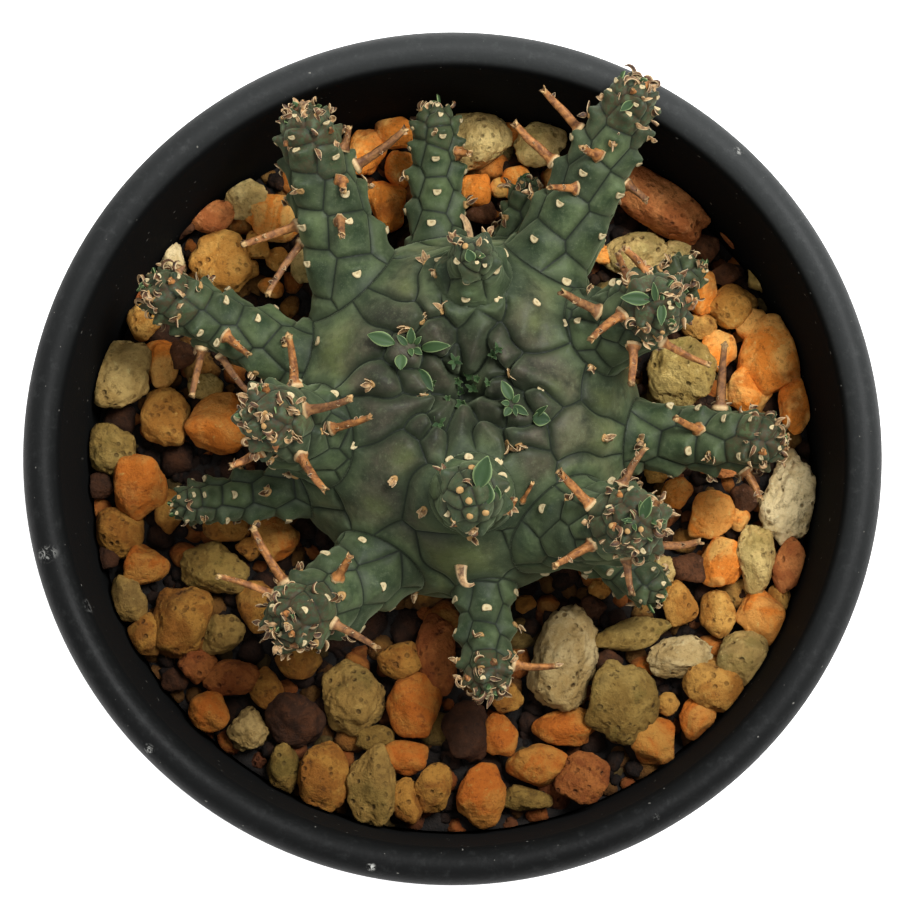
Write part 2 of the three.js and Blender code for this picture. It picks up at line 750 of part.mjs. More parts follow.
// ---- Materials and assembly ---------------------------------------------------------

const material = (color, roughness) =>
  new THREE.MeshStandardMaterial({ color, roughness, metalness: 0 });

const plastic = material(0x2a2a28, 0.55);
const gravel = material(0xb07c43, 0.95);
const bodySkin = material(0x5d6a57, 0.7);
const armSkin = material(0x456450, 0.7);

const part = new THREE.Group();
part.add(meshOf("pot", potSolid(), plastic));
part.add(meshOf("potting_mix", mixSolid(), gravel));
part.add(meshOf("stem_body", bodyWithShoots(), bodySkin));

const armRandom = seededRandom(5);
const bodyRoom = bodySolid(BODY_COLUMNS, 0, BODY_RELIEF + GAP);
for (const arm of ARMS) {
  part.add(meshOf(arm.name, armSolid(arm, armRandom).subtract(bodyRoom), armSkin));
}

export default part;
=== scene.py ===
import math
from collections import namedtuple

import bmesh
import bpy
import numpy as np
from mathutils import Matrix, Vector


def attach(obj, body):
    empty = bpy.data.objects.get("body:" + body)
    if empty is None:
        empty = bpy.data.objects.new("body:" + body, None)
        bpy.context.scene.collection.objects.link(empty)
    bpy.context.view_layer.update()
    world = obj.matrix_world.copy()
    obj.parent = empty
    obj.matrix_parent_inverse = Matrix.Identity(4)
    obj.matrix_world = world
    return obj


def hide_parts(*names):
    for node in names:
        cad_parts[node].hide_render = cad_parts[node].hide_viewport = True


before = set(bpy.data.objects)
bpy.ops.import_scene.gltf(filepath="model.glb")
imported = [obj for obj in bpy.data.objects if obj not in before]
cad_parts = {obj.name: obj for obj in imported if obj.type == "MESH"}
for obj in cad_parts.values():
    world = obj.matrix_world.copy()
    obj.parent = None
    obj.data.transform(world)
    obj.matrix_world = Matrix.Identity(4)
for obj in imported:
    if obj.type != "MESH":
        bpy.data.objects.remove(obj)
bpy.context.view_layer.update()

MM = 0.001
UP = np.array([0.0, 0.0, 1.0])
RNG = np.random.default_rng(20971)

# ---- Small maths helpers ---------------------------------------------------------------


def unit(v):
    return v / np.maximum(np.linalg.norm(v, axis=-1, keepdims=True), 1e-9)


def mixed(a, b, t):
    return a + (b - a) * t


def ease(x, low, high):
    t = np.clip((x - low) / (high - low), 0, 1)
    return t * t * (3 - 2 * t)


def bell(distance, breadth):
    """1 at no distance, and near 0 from about twice the breadth on."""
    return np.exp(-((distance / breadth) ** 2))


def lattice(ix, iy, iz, seed):
    n = (ix * 374761393 + iy * 668265263 + iz * 1442695041 + seed * 1274126177) & 0xFFFFFFFF
    n = ((n ^ (n >> 13)) * 1274126177) & 0xFFFFFFFF
    return ((n ^ (n >> 16)) & 0xFFFF) / 65535.0


def noise(p, seed=0):
    """Smooth value noise from 0 to 1 at points p, one cell to a unit."""
    cell = np.floor(p).astype(np.int64)
    f = p - cell
    f = f * f * (3 - 2 * f)
    total = np.zeros(len(p))
    for dx in (0, 1):
        wx = f[:, 0] if dx else 1 - f[:, 0]
        for dy in (0, 1):
            wy = f[:, 1] if dy else 1 - f[:, 1]
            for dz in (0, 1):
                wz = f[:, 2] if dz else 1 - f[:, 2]
                corner = lattice(cell[:, 0] + dx, cell[:, 1] + dy, cell[:, 2] + dz, seed)
                total += wx * wy * wz * corner
    return total


def frame_of(axis):
    """(right looking along the axis, the direction square to it nearest to up)."""
    across = np.cross(axis, UP)
    if np.linalg.norm(across) < 1e-6:
        across = np.array([1.0, 0, 0])
    across = unit(across)
    return across, unit(np.cross(across, axis))


def circle(count):
    """Angles once round, evenly apart."""
    return np.arange(count) * 2 * math.pi / count


def flat_ring(turn, radius, level, x=0.0, y=0.0):
    """Points of a level circle, one at each angle."""
    across, along = x + radius * np.cos(turn), y + radius * np.sin(turn)
    return np.column_stack([across, along, np.full(len(turn), level)])


# ---- Mesh helpers ------------------------------------------------------------------------


def mesh_from(name, points, faces, values=None, scale=MM):
    groups = [np.asarray(g, np.int32) for g in faces if len(g)]
    corners = np.concatenate([g.ravel() for g in groups])
    sizes = np.concatenate([np.full(len(g), g.shape[1]) for g in groups])
    mesh = bpy.data.meshes.new(name)
    mesh.vertices.add(len(points))
    mesh.vertices.foreach_set("co", (np.asarray(points) * scale).astype(np.float32).ravel())
    mesh.loops.add(len(corners))
    mesh.loops.foreach_set("vertex_index", corners)
    mesh.polygons.add(len(sizes))
    starts = np.concatenate([[0], np.cumsum(sizes)[:-1]])
    mesh.polygons.foreach_set("loop_start", starts.astype(np.int32))
    mesh.polygons.foreach_set("use_smooth", np.full(len(sizes), True))
    mesh.update(calc_edges=True)
    mesh.validate()
    for key, data in (values or {}).items():
        layer = mesh.attributes.new(key, "FLOAT", "POINT")
        layer.data.foreach_set("value", np.asarray(data, np.float32))
    return mesh


def link(name, data):
    """A new object in the scene."""
    holder = bpy.data.objects.new(name, data)
    bpy.context.scene.collection.objects.link(holder)
    return holder


def add_piece(mesh, material, replaced=()):
    mesh.materials.append(material)
    piece = link(mesh.name, mesh)
    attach(piece, "root")
    if replaced:
        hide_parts(*replaced)
    return piece


class Batch:
    """Many small closed forms that are joined into one piece."""

    def __init__(self):
        self.points, self.faces, self.values, self.count = [], {3: [], 4: []}, {}, 0

    def add(self, points, faces, **values):
        for group in faces:
            group = np.asarray(group, np.int64).reshape(-1, len(group[0]))
            self.faces[group.shape[1]].append(group + self.count)
        self.points.append(points)
        for key, data in values.items():
            data = np.broadcast_to(np.asarray(data, float), (len(points),))
            self.values.setdefault(key, []).append(data)
        self.count += len(points)

    def mesh(self, name, scale=MM):
        faces = [np.concatenate(g) for g in self.faces.values() if g]
        values = {key: np.concatenate(data) for key, data in self.values.items()}
        return mesh_from(name, np.concatenate(self.points), faces, values, scale)


def outward(points, faces):
    """Turns the faces of a closed form outwards."""
    volume = 0.0
    for group in faces:
        group = np.asarray(group)
        for k in range(1, group.shape[1] - 1):
            a, b, c = points[group[:, 0]], points[group[:, k]], points[group[:, k + 1]]
            volume += np.einsum("ij,ij->i", a, np.cross(b, c)).sum()
    return faces if volume > 0 else [np.asarray(g)[:, ::-1] for g in faces]


def capped(rings, start, end):
    """(points, faces) of a tube through rings of points, with a fan at each end."""
    count, sides = len(rings), len(rings[0])
    ring, side = np.meshgrid(np.arange(count - 1), np.arange(sides), indexing="ij")
    following = (side + 1) % sides
    first, second = ring * sides, (ring + 1) * sides
    corners = [first + side, first + following, second + following, second + side]
    quads = np.stack(corners, -1).reshape(-1, 4)
    s = np.arange(sides)
    n = (s + 1) % sides
    last = (count - 1) * sides
    start_fan = np.stack([np.full(sides, count * sides), n, s], -1)
    end_fan = np.stack([np.full(sides, count * sides + 1), last + s, last + n], -1)
    points = np.vstack([*rings, [start], [end]])
    return points, outward(points, [quads, np.concatenate([start_fan, end_fan])])


# ---- Node helpers --------------------------------------------------------------------------


def srgb(red, green, blue):
    def linear(c):
        c /= 255
        return c / 12.92 if c <= 0.04045 else ((c + 0.055) / 1.055) ** 2.4

    return (linear(red), linear(green), linear(blue), 1.0)


def as_color(value):
    """Three numbers up to 255 as a linear colour, and anything else as it is."""
    return srgb(*value) if isinstance(value, tuple) and len(value) == 3 else value


class Nodes:
    """A node tree, with short ways to add the nodes that are used here."""

    def __init__(self, tree, coordinates="Object"):
        self.tree = tree
        self.place = self.put("TexCoord").outputs[coordinates]

    def connect(self, node, inputs):
        for key, value in inputs.items():
            if isinstance(value, bpy.types.NodeSocket):
                self.tree.links.new(value, node.inputs[key])
            else:
                node.inputs[key].default_value = value

    def put(self, kind, inputs=None, **props):
        made = self.tree.nodes.new("ShaderNode" + kind)
        for key, value in props.items():
            setattr(made, key, value)
        self.connect(made, inputs or {})
        return made

    def attributes(self, *names):
        return [self.put("Attribute", attribute_name=name).outputs["Fac"] for name in names]

    def part(self, axis):
        return self.put("SeparateXYZ", {0: self.place}).outputs[axis]

    def noise(self, scale, detail=3.0, rough=0.55, distortion=0.0):
        inputs = {"Vector": self.place, "Scale": scale, "Detail": detail, "Roughness": rough}
        inputs["Distortion"] = distortion
        return self.put("TexNoise", inputs).outputs["Fac"]

    def ramp(self, value, low, high, to_low=0.0, to_high=1.0, smooth=True):
        inputs = {"Value": value, "From Min": low, "From Max": high}
        inputs.update({"To Min": to_low, "To Max": to_high})
        kind = "SMOOTHSTEP" if smooth else "LINEAR"
        return self.put("MapRange", inputs, interpolation_type=kind).outputs["Result"]

    def calc(self, operation, a, b, clamp=False):
        return self.put("Math", {0: a, 1: b}, operation=operation, use_clamp=clamp).outputs[0]

    def times(self, a, b, clamp=False):
        return self.calc("MULTIPLY", a, b, clamp)

    def plus(self, a, b):
        return self.calc("ADD", a, b)

    def minus(self, a, b):
        return self.calc("SUBTRACT", a, b)

    def blend(self, share, a, b, mode="MIX"):
        inputs = {0: share, 6: as_color(a), 7: as_color(b)}
        return self.put("Mix", inputs, data_type="RGBA", blend_type=mode).outputs[2]

    def blend_value(self, share, a, b):
        return self.put("Mix", {0: share, 2: a, 3: b}).outputs[0]


class Paint(Nodes):
    """A material in the making: coats of colour go over each other."""

    def __init__(self, name):
        self.material = bpy.data.materials.new(name)
        self.material.use_nodes = True
        super().__init__(self.material.node_tree)
        self.color = None

    def coat(self, share, color, mode="MIX"):
        self.color = self.blend(share, self.color, color, mode)

    def done(self, rough, height, strength, distance, **sockets):
        """The material, with its bumps; sockets are other values of the shader."""
        inputs = {"Height": height, "Strength": strength, "Distance": distance}
        normal = self.put("Bump", inputs).outputs["Normal"]
        inputs = {"Base Color": self.color, "Roughness": rough, "Normal": normal}
        inputs.update({SOCKETS[key]: value for key, value in sockets.items()})
        self.connect(self.tree.nodes["Principled BSDF"], inputs)
        return self.material


SOCKETS = {
    "specular": "Specular IOR Level", "sheen": "Sheen Weight",
    "sheen_rough": "Sheen Roughness", "sheen_tint": "Sheen Tint",
}

# ---- View of the photograph: the camera looks down from just in front of the plant --------

CAMERA_TARGET = np.array([-0.26, 0.22, 76.0])
CAMERA_TILT, CAMERA_REACH, FRAME_WIDTH, SENSOR = math.radians(7.0), 560.0, 93.9, 36.0
CAMERA_RIGHT = np.array([1.0, 0, 0])
CAMERA_RISE = np.array([0, math.cos(CAMERA_TILT), math.sin(CAMERA_TILT)])
CAMERA_BACK = np.array([0, -math.sin(CAMERA_TILT), math.cos(CAMERA_TILT)])
PHOTO_SIZE = 900  # pixels across and down

# ---- Dimensions of the solids, in millimetres ---------------------------------------------

POT_HEIGHT, RIM_RADIUS, MOUTH_RADIUS = 76.0, 45.0, 41.0
LIP_DROP, LIP_DEPTH, COLLAR_HEIGHT, COLLAR_TAPER = 2.4, 4.4, 9.8, 0.6
WALL, WALL_TAPER, FOOT_RAISE, FOOT_WIDTH, FOOT_EDGE = 1.6, 0.127, 1.4, 3.6, 0.8
DRAIN_RADIUS, DRAIN_RING_RADIUS, DRAIN_RING_COUNT = 3.6, 18.0, 6
BED_LEVEL = 58.0
BED_FLOOR = FOOT_RAISE + WALL + 0.3
GAP = 0.3

BODY_FOOT_CENTRE, BODY_CROWN_CENTRE = np.array([0.7, 4.2]), np.array([1.4, 6.4])
BODY_FOOT_LEVEL, BODY_CROWN_LEVEL = 62.0, 78.0
BODY_PROFILE = np.array([
    (0, 77.2), (2.5, 77.9), (5, 79.4), (8, 80), (11, 79.2), (14, 76.8), (16.8, 73),
    (18.4, 68.5), (18.6, 65), (17.5, 61), (15, 57), (11, 51), (7, 42), (4, 35), (0, 31),
])
ARM_ROOT_DEPTH, ARM_SAG = 5.0, 0.7

# Arms: root, tip and radii as in the solids, then the turn of the first column of
# tubercles from the arm's upper side and how far the columns wind, in degrees, and
# where the first tubercle starts, in millimetres.
ARMS = {
    "arm_north_west_long": ((-10.1, 17.9, 71), (-15.1, 33.2, 78), (4.9, 3.1), 0, 42, 0.6),
    "arm_north_low": ((-1.6, 23.3, 67), (-1.8, 35.6, 69), (3.1, 2.6), -18, 30, 0.6),
    "arm_north_east_long": ((10.1, 20.7, 72), (18.5, 36.2, 80), (4.6, 2.9), -32, 46, 1.0),
    "arm_north_bud": ((6.7, 23.5, 66.2), (7.9, 28.6, 66.4), (2.3, 2.1), 20, 20, 0.2),
    "arm_east_north_low": ((15.7, 15.4, 66.2), (24.6, 19.9, 67.5), (2.6, 2.4), 10, 25, 1.5),
    "arm_east_north_upper": ((12.4, 11.7, 73), (20.9, 14.3, 84), (4.6, 3.5), -28, 30, 1.2),
    "arm_east_long": ((18.8, 2.6, 69), (31.9, 1.5, 74), (3.8, 3.0), 12, 30, 0.6),
    "arm_east_south_upper": ((10, -6.9, 72), (18.4, -8.2, 84), (5, 3.7), -36, 30, 1.2),
    "arm_east_south_low": ((15.6, -9.2, 66.2), (20.4, -12.7, 66.4), (2.7, 2.5), 25, 25, 0.6),
    "arm_south": ((3.3, -13.6, 67.4), (3.7, -22.5, 70.4), (3, 2.7), -4, 15, 1.6),
    "arm_south_west": ((-7.6, -10.8, 69), (-15.8, -17.2, 77), (4.4, 3.7), 30, 40, 1.0),
    "arm_west_low": ((-17.2, -2.9, 66.8), (-27.4, -4.6, 69.2), (2.9, 2.2), -5, 20, 1.6),
    "arm_west_upper": ((-12.3, 1.9, 73), (-18.6, 2.6, 84), (5, 3.6), 12, 35, 1.6),
    "arm_north_west_low": ((-16.1, 10.5, 70), (-29.8, 16.7, 75), (3.7, 2.8), 4, 40, 1.0),
    "crown_arm_north": ((2, 16.9, 76), (2.2, 19.1, 84.6), (4.2, 2.2), -20, 40, 0.8),
    "crown_arm_south": ((2, -3.9, 77), (2, -5.3, 85.6), (4.2, 3.3), 20, 40, 1.0),
}

# ---- Field of the plant: signed distances of the body and the arms -------------------------


def catmull_rom(points, steps):
    """A smooth line through the points, as the solids' own outline runs."""
    padded = np.vstack([points[:1], points, points[-1:]])
    t = np.linspace(0, 1, steps, endpoint=False)[:, None]
    out = []
    for p0, p1, p2, p3 in zip(padded, padded[1:], padded[2:], padded[3:]):
        v0, v1 = (p2 - p0) / 2, (p3 - p1) / 2
        a, b = 2 * p1 - 2 * p2 + v0 + v1, -3 * p1 + 3 * p2 - 2 * v0 - v1
        out.append(((a * t + b) * t + v0) * t + p1)
    return np.vstack(out + [points[-1:]])


PROFILE_LINE = catmull_rom(BODY_PROFILE, 8)
FIELD_STEP, FIELD_LOW, FIELD_SIZE = 0.25, np.array([0.0, 26.0]), (140, 280)


def profile_field():
    """Signed distance to the body's outline over a grid of radius and height."""
    r, z = np.meshgrid(
        FIELD_LOW[0] + FIELD_STEP * np.arange(FIELD_SIZE[0]),
        FIELD_LOW[1] + FIELD_STEP * np.arange(FIELD_SIZE[1]),
        indexing="ij",
    )
    nearest = np.full(r.shape, 1e9)
    inside = np.zeros(r.shape, bool)
    for (r0, z0), (r1, z1) in zip(PROFILE_LINE, PROFILE_LINE[1:]):
        dr, dz = r1 - r0, z1 - z0
        t = np.clip(((r - r0) * dr + (z - z0) * dz) / (dr * dr + dz * dz), 0, 1)
        nearest = np.minimum(nearest, np.hypot(r - r0 - t * dr, z - z0 - t * dz))
        crosses = (z0 > z) != (z1 > z)
        at = r0 + (z - z0) / np.where(dz == 0, 1e-9, dz) * dr
        inside ^= crosses & (r < at)
    return np.where(inside, -nearest, nearest)


PROFILE_FIELD = profile_field()


def body_centre(level):
    t = np.clip((level - BODY_FOOT_LEVEL) / (BODY_CROWN_LEVEL - BODY_FOOT_LEVEL), 0, 1)
    return mixed(BODY_FOOT_CENTRE, BODY_CROWN_CENTRE, t[:, None])


def body_distance(p):
    offset = p[:, :2] - body_centre(p[:, 2])
    radius = np.hypot(offset[:, 0], offset[:, 1])
    place = (np.stack([radius, p[:, 2]], -1) - FIELD_LOW) / FIELD_STEP
    place = np.clip(place, 0, np.array(FIELD_SIZE) - 1.001)
    i = place.astype(int)
    f = place - i
    g = PROFILE_FIELD
    top = mixed(g[i[:, 0], i[:, 1]], g[i[:, 0] + 1, i[:, 1]], f[:, 0])
    low = mixed(g[i[:, 0], i[:, 1] + 1], g[i[:, 0] + 1, i[:, 1] + 1], f[:, 0])
    return mixed(top, low, f[:, 1])


class Arm:
    def __init__(self, name, root, tip, radii, phase, wind, start):
        self.name = name
        self.root, self.tip = np.array(root, float), np.array(tip, float)
        self.radii, self.phase, self.wind, self.start = radii, phase, wind, start
        self.length = np.linalg.norm(self.tip - self.root)
        self.axis = (self.tip - self.root) / self.length
        self.across, self.over = frame_of(self.axis)
        self.middle = (self.root + self.tip) / 2 - 2 * ARM_SAG * self.over
        shares = np.concatenate([[-ARM_ROOT_DEPTH / self.length], np.linspace(0, 1, 9)])
        self.nodes = np.array([self.centre(s) for s in shares])
        self.node_radii = np.array([self.radius(s) for s in shares])
        self.turn_length = self.radii[1] * math.pi / 2

    def centre(self, share):
        if share <= 0:
            return self.root + self.axis * share * self.length
        t = min(share, 1)
        return (1 - t) ** 2 * self.root + 2 * t * (1 - t) * self.middle + t * t * self.tip

    def radius(self, share):
        return mixed(self.radii[0], self.radii[1], min(max(share, 0), 1))

    def distance(self, p):
        best = np.full(len(p), 1e9)
        for a, b, ra, rb in zip(self.nodes, self.nodes[1:], self.node_radii, self.node_radii[1:]):
            ab = b - a
            t = np.clip((p - a) @ ab / (ab @ ab), 0, 1)
            gap = np.linalg.norm(p - a - t[:, None] * ab, axis=1) - mixed(ra, rb, t)
            best = np.minimum(best, gap)
        return best

    def surface(self, along, degrees):
        """(point, outward, towards the tip) at a length along the arm and over its dome."""
        turn = math.radians(degrees)
        radial = math.cos(turn) * self.over + math.sin(turn) * self.across
        if along <= self.length:
            share = along / self.length
            return self.centre(share) + self.radius(share) * radial, radial, self.axis
        rise = (along - self.length) / self.radii[1]
        out = math.cos(rise) * radial + math.sin(rise) * self.axis
        forward = math.cos(rise) * self.axis - math.sin(rise) * radial
        return self.tip + self.radii[1] * out, out, forward


ARM_LIST = [Arm(name, *row) for name, row in ARMS.items()]
ARM_NEAR = 3.0  # an arm bends the skin within this distance of itself
SOFT_JOIN = 2.8


def plant_field(p):
    """(joined distance, owner: 0 for the body and 1.. for the arms, gap to the next)."""
    joined = body_distance(p)
    least = joined.copy()
    second = np.full(len(p), 1e9)
    owner = np.zeros(len(p), int)
    for index, arm in enumerate(ARM_LIST, 1):
        low = arm.nodes.min(0) - arm.radii[0] - ARM_NEAR
        high = arm.nodes.max(0) + arm.radii[0] + ARM_NEAR
        near = np.nonzero(((p > low) & (p < high)).all(1))[0]
        if not len(near):
            continue
        d = arm.distance(p[near])
        h = np.clip(0.5 + 0.5 * (joined[near] - d) / SOFT_JOIN, 0, 1)
        joined[near] = mixed(joined[near], d, h) - SOFT_JOIN * h * (1 - h)
        closer = d < least[near]
        second[near] = np.where(closer, least[near], np.minimum(second[near], d))
        owner[near] = np.where(closer, index, owner[near])
        least[near] = np.minimum(least[near], d)
    return joined, owner, second - least


def field_slope(p, value, step=0.05):
    slope = np.empty_like(p)
    for axis in range(3):
        moved = p.copy()
        moved[:, axis] += step
        slope[:, axis] = (plant_field(moved)[0] - value) / step
    return slope


# ---- Cells of the skin: one for each tubercle ------------------------------------------------

# Ridges of the body's tubercles as seen from above: a line in plan from x, y to x, y,
# and how strongly the pale fold along it shows, partly a paler ridge top and partly a painted highlight
BODY_CELLS = [
    (2.9, 12.9, 1.7, 8.8, 1.0), (4.6, 11.2, 5.6, 9.5, 0.6), (4.1, 8.1, 2.7, 7.0, 0.8),
    (4.3, 7.0, 3.9, 6.3, 0.6), (7.0, 8.2, 10.7, 6.2, 0.8), (8.9, 5.4, 9.6, 4.5, 0.6),
    (2.9, 5.0, 4.9, 3.9, 0.8), (6.0, 4.5, 7.0, 2.9, 0.6), (6.7, 1.4, 8.3, 1.2, 0.5),
    (3.2, 2.1, 4.0, 0.7, 0.7), (1.1, 4.2, 0.7, 0.2, 1.0), (-0.4, 4.8, -1.6, 3.2, 0.8),
    (-1.8, 1.5, -1.8, 0.7, 0.5), (-3.0, 2.7, -2.9, 2.3, 0.5), (-7.9, 3.5, -2.8, 4.9, 0.8),
    (-7.9, 7.6, -6.5, 6.5, 0.6), (-4.2, 7.4, -3.4, 6.3, 0.6), (-1.9, 8.9, -0.3, 7.1, 0.9),
    (-0.1, 9.4, 0.3, 8.8, 0.5), (-1.9, 12.3, -1.1, 10.3, 0.8), (-5.7, 10.2, -4.2, 9.2, 0.5),
    (-6.9, 14.4, -4.0, 14.0, 0.5), (-12.8, 11.3, -8.0, 11.1, 0.5), (-4.7, 19.7, -4.8, 16.7, 0.4),
    (-6.1, 23.6, -5.8, 21.4, 0.4), (-2.7, 23.5, 0.4, 23.9, 0.4), (-2.5, 18.4, -2.3, 14.9, 0.4),
    (7.0, 17.3, 7.3, 11.9, 0.6), (11.8, 2.1, 15.8, 1.4, 0.5), (16.0, 6.1, 20.1, 7.4, 0.4),
    (7.8, -1.0, 6.4, -5.2, 0.6), (-1.3, -10.2, 3.5, -10.6, 0.4), (8.1, -9.0, 9.5, -9.3, 0.4),
    (8.4, -12.0, 12.0, -11.7, 0.4), (-4.8, -0.2, -9.2, -5.5, 0.7), (-17.2, -2.7, -14.0, -4.0, 0.4),
    (-15.7, -7.2, -13.0, -6.5, 0.4), (-5.5, -10.0, -5.1, -13.6, 0.4), (-2.3, -3.9, -1.6, -6.9, 0.5),
    (13.8, -1.8, 15.5, -2.4, 0.4), (19.9, 1.3, 20.9, -0.8, 0.4), (-0.1, 15.4, 0.9, 14.4, 0.5),
    (3.6, 15.8, 4.0, 14.9, 0.5),
]
GROWTH_POINT = np.array([1.4, 6.8])
# Rings of tubercles further down: height, and shift in shares of a cell
LOWER_RINGS = [(67.0, 0.5), (61.5, 0.0), (55.5, 0.5), (48.0, 0.0), (40.0, 0.5)]
LOWER_RING_CELLS = 11
CELL_SPACING = 5.6


def profile_radius(level):
    """Radius of the body's outer side at a height."""
    line = PROFILE_LINE[int(np.argmax(PROFILE_LINE[:, 0] > 16)):]
    return float(np.interp(-level, -line[:, 1], line[:, 0]))


def body_height(radius):
    line = PROFILE_LINE[: int(np.argmax(PROFILE_LINE[:, 0])) + 1]
    return float(np.interp(radius, line[:, 0], line[:, 1]))


def on_body(x, y):
    """The point of the body's upper side over a place in plan."""
    level = 78.0
    for _ in range(12):
        cx, cy = body_centre(np.array([level]))[0]
        level = mixed(level, body_height(min(math.hypot(x - cx, y - cy), 18.5)), 0.6)
    return np.array([x, y, level])


def body_seeds():
    """Rows of (one end, other end) of each tubercle's ridge, and their folds."""
    ends = [(on_body(ax, ay), on_body(bx, by)) for ax, ay, bx, by, _ in BODY_CELLS]
    folds = [row[4] for row in BODY_CELLS]
    for level, shift in LOWER_RINGS:
        radius = profile_radius(level)
        cx, cy = body_centre(np.array([level]))[0]
        for k in range(LOWER_RING_CELLS):
            turn = (k + shift + 0.3 * (RNG.random() - 0.5)) * 2 * math.pi / LOWER_RING_CELLS
            point = np.array([cx + radius * math.cos(turn), cy + radius * math.sin(turn), level])
            point[2] += 1.2 * (RNG.random() - 0.5)
            room = min(min(np.linalg.norm(point - a), np.linalg.norm(point - b)) for a, b in ends)
            if room > min(CELL_SPACING, 0.42 * radius):
                ends.append((point, point))
                folds.append(0.35)
    return np.array(ends), np.array(folds)


TUBERCLE_TURN = 144.0  # from one tubercle to the next, so they stand in five columns
COLUMN_COUNT = 5
# Tubercles of the upright arms as the photograph shows them: what each carries (w: a white
# scar, t: a tan scar with dry bracts, n: a bud, s: a stalk, -: nothing), the pixel across and
# down of its middle, and of its scar where that is another one
SEEN_TUBERCLES = {
    "arm_west_upper": [
        ("w", 357, 442, 362, 447), ("-", 352, 478), ("-", 352, 402), ("w", 331, 389, 335, 394),
        ("s", 337, 434, 337, 425), ("s", 318, 402, 312, 411), ("t", 321, 446, 318, 433),
        ("t", 304, 425, 298, 435), ("t", 300, 403, 297, 412), ("-", 328, 463),
        ("s", 301, 452, 306, 455), ("-", 324, 480, 330, 482), ("w", 297, 390, 290, 395),
        ("t", 283, 438, 276, 442), ("-", 284, 458), ("t", 283, 412, 280, 402),
        ("n", 275, 430, 267, 425), ("t", 270, 404, 263, 411),
    ],
    "crown_arm_south": [
        ("w", 453, 503, 443, 500), ("w", 447, 466, 448, 458), ("w", 470, 461, 470, 457),
        ("n", 471, 474, 471, 468), ("w", 494, 462, 500, 459), ("w", 507, 486, 502, 478),
        ("n", 457, 482, 459, 488), ("n", 468, 497, 470, 500), ("n", 471, 517, 471, 513),
        ("n", 488, 514, 486, 509), ("w", 463, 527, 468, 529), ("t", 453, 515, 456, 518),
        ("t", 502, 503, 506, 507), ("-", 480, 493), ("-", 440, 480), ("-", 440, 512),
    ],
    "arm_east_south_upper": [
        ("w", 545, 508, 546, 510), ("t", 573, 509, 568, 500), ("-", 562, 541), ("-", 578, 531),
        ("t", 597, 527, 589, 523), ("-", 578, 477), ("w", 603, 484, 601, 483), ("-", 599, 504),
        ("w", 612, 497, 611, 491), ("s", 585, 549, 586, 543), ("-", 600, 553),
        ("w", 606, 514, 609, 505), ("n", 613, 532, 613, 526), ("w", 606, 545, 606, 550),
        ("n", 628, 528, 628, 530), ("n", 640, 536, 642, 529), ("t", 636, 547, 637, 548),
        ("w", 645, 553, 645, 551), ("w", 634, 496, 632, 492), ("w", 651, 514, 653, 509),
        ("t", 616, 512, 615, 510), ("t", 622, 541), ("s", 582, 496, 583, 501),
    ],
    "arm_east_north_upper": [
        ("w", 557, 342, 561, 323), ("w", 584, 336, 579, 323), ("t", 585, 366, 591, 369),
        ("-", 612, 353), ("-", 612, 333), ("s", 592, 306, 590, 314), ("-", 577, 292),
        ("s", 608, 304, 618, 315), ("w", 612, 287, 619, 284), ("-", 600, 295), ("-", 645, 348),
        ("s", 629, 343, 630, 347), ("t", 640, 322, 641, 325), ("t", 638, 287, 634, 287),
        ("w", 664, 290, 666, 292), ("w", 668, 300, 669, 300), ("w", 671, 312, 671, 309),
        ("n", 662, 330, 662, 332), ("t", 646, 336, 645, 339), ("t", 655, 335, 655, 338),
        ("-", 626, 318), ("w", 669, 327, 671, 326),
    ],
    "crown_arm_north": [
        ("w", 466, 291, 466, 295), ("w", 467, 277, 467, 280), ("w", 451, 268, 455, 262),
        ("w", 476, 266, 475, 263), ("w", 499, 277, 497, 271), ("w", 489, 266, 487, 265),
        ("w", 484, 245, 484, 243), ("n", 467, 248, 467, 247), ("w", 479, 256, 480, 254),
        ("t", 458, 246), ("w", 462, 241),
    ],
}
RAY_START, RAY_END, RAY_STEPS = 92.0, 50.0, 600


def seen_points(pixels):
    """The points of the plant's even surface that the camera sees at pixels of the photograph."""
    across = (np.array(pixels, float) - PHOTO_SIZE / 2) / PHOTO_SIZE * FRAME_WIDTH
    ray = across[:, :1] * CAMERA_RIGHT - across[:, 1:] * CAMERA_RISE - CAMERA_REACH * CAMERA_BACK
    ray = unit(ray)
    eye = CAMERA_TARGET + CAMERA_REACH * CAMERA_BACK
    gone = (RAY_START - eye[2]) / ray[:, 2]
    for _ in range(RAY_STEPS):
        points = eye + ray * gone[:, None]
        value = plant_field(points)[0]
        outside = (value > 0.01) & (points[:, 2] > RAY_END)
        if not outside.any():
            break
        gone += np.where(outside, np.clip(0.8 * value, 0.01, 0.25), 0)
    return points


def on_field(points):
    """The points moved on to the plant's even surface, and the way out there."""
    for _ in range(5):
        value = plant_field(points)[0]
        slope = field_slope(points, value)
        points = points - slope * (value / np.maximum((slope**2).sum(1), 0.25))[:, None]
    return points, unit(field_slope(points, plant_field(points)[0]))


# A tubercle of an arm: the middle of its cell, the way to the arm's tip, its size, its
# share of the arm's length, the place of its scar and what it carries
Tubercle = namedtuple("Tubercle", "middle forward pitch share scar kind")


def seen_seeds(arm):
    """Tubercles of an arm that stand where the photograph shows them."""
    table = SEEN_TUBERCLES.get(arm.name)
    if not table:
        return []
    middles, out = on_field(seen_points([row[1:3] for row in table]))
    marks = on_field(seen_points([row[-2:] for row in table]))[0]
    way = arm.tip + arm.radii[1] * arm.axis - middles
    forward = unit(way - (way * out).sum(1)[:, None] * out)
    apart = np.sort(np.linalg.norm(middles[:, None] - middles, axis=2), axis=1)
    pitch = np.clip(apart[:, 1:4].mean(1), 1.1, 4.4)
    share = np.clip((middles - arm.root) @ arm.axis / arm.length, 0, 1)
    kinds = [row[0] for row in table]
    return [Tubercle(*row) for row in zip(middles, forward, pitch, share, marks, kinds)]


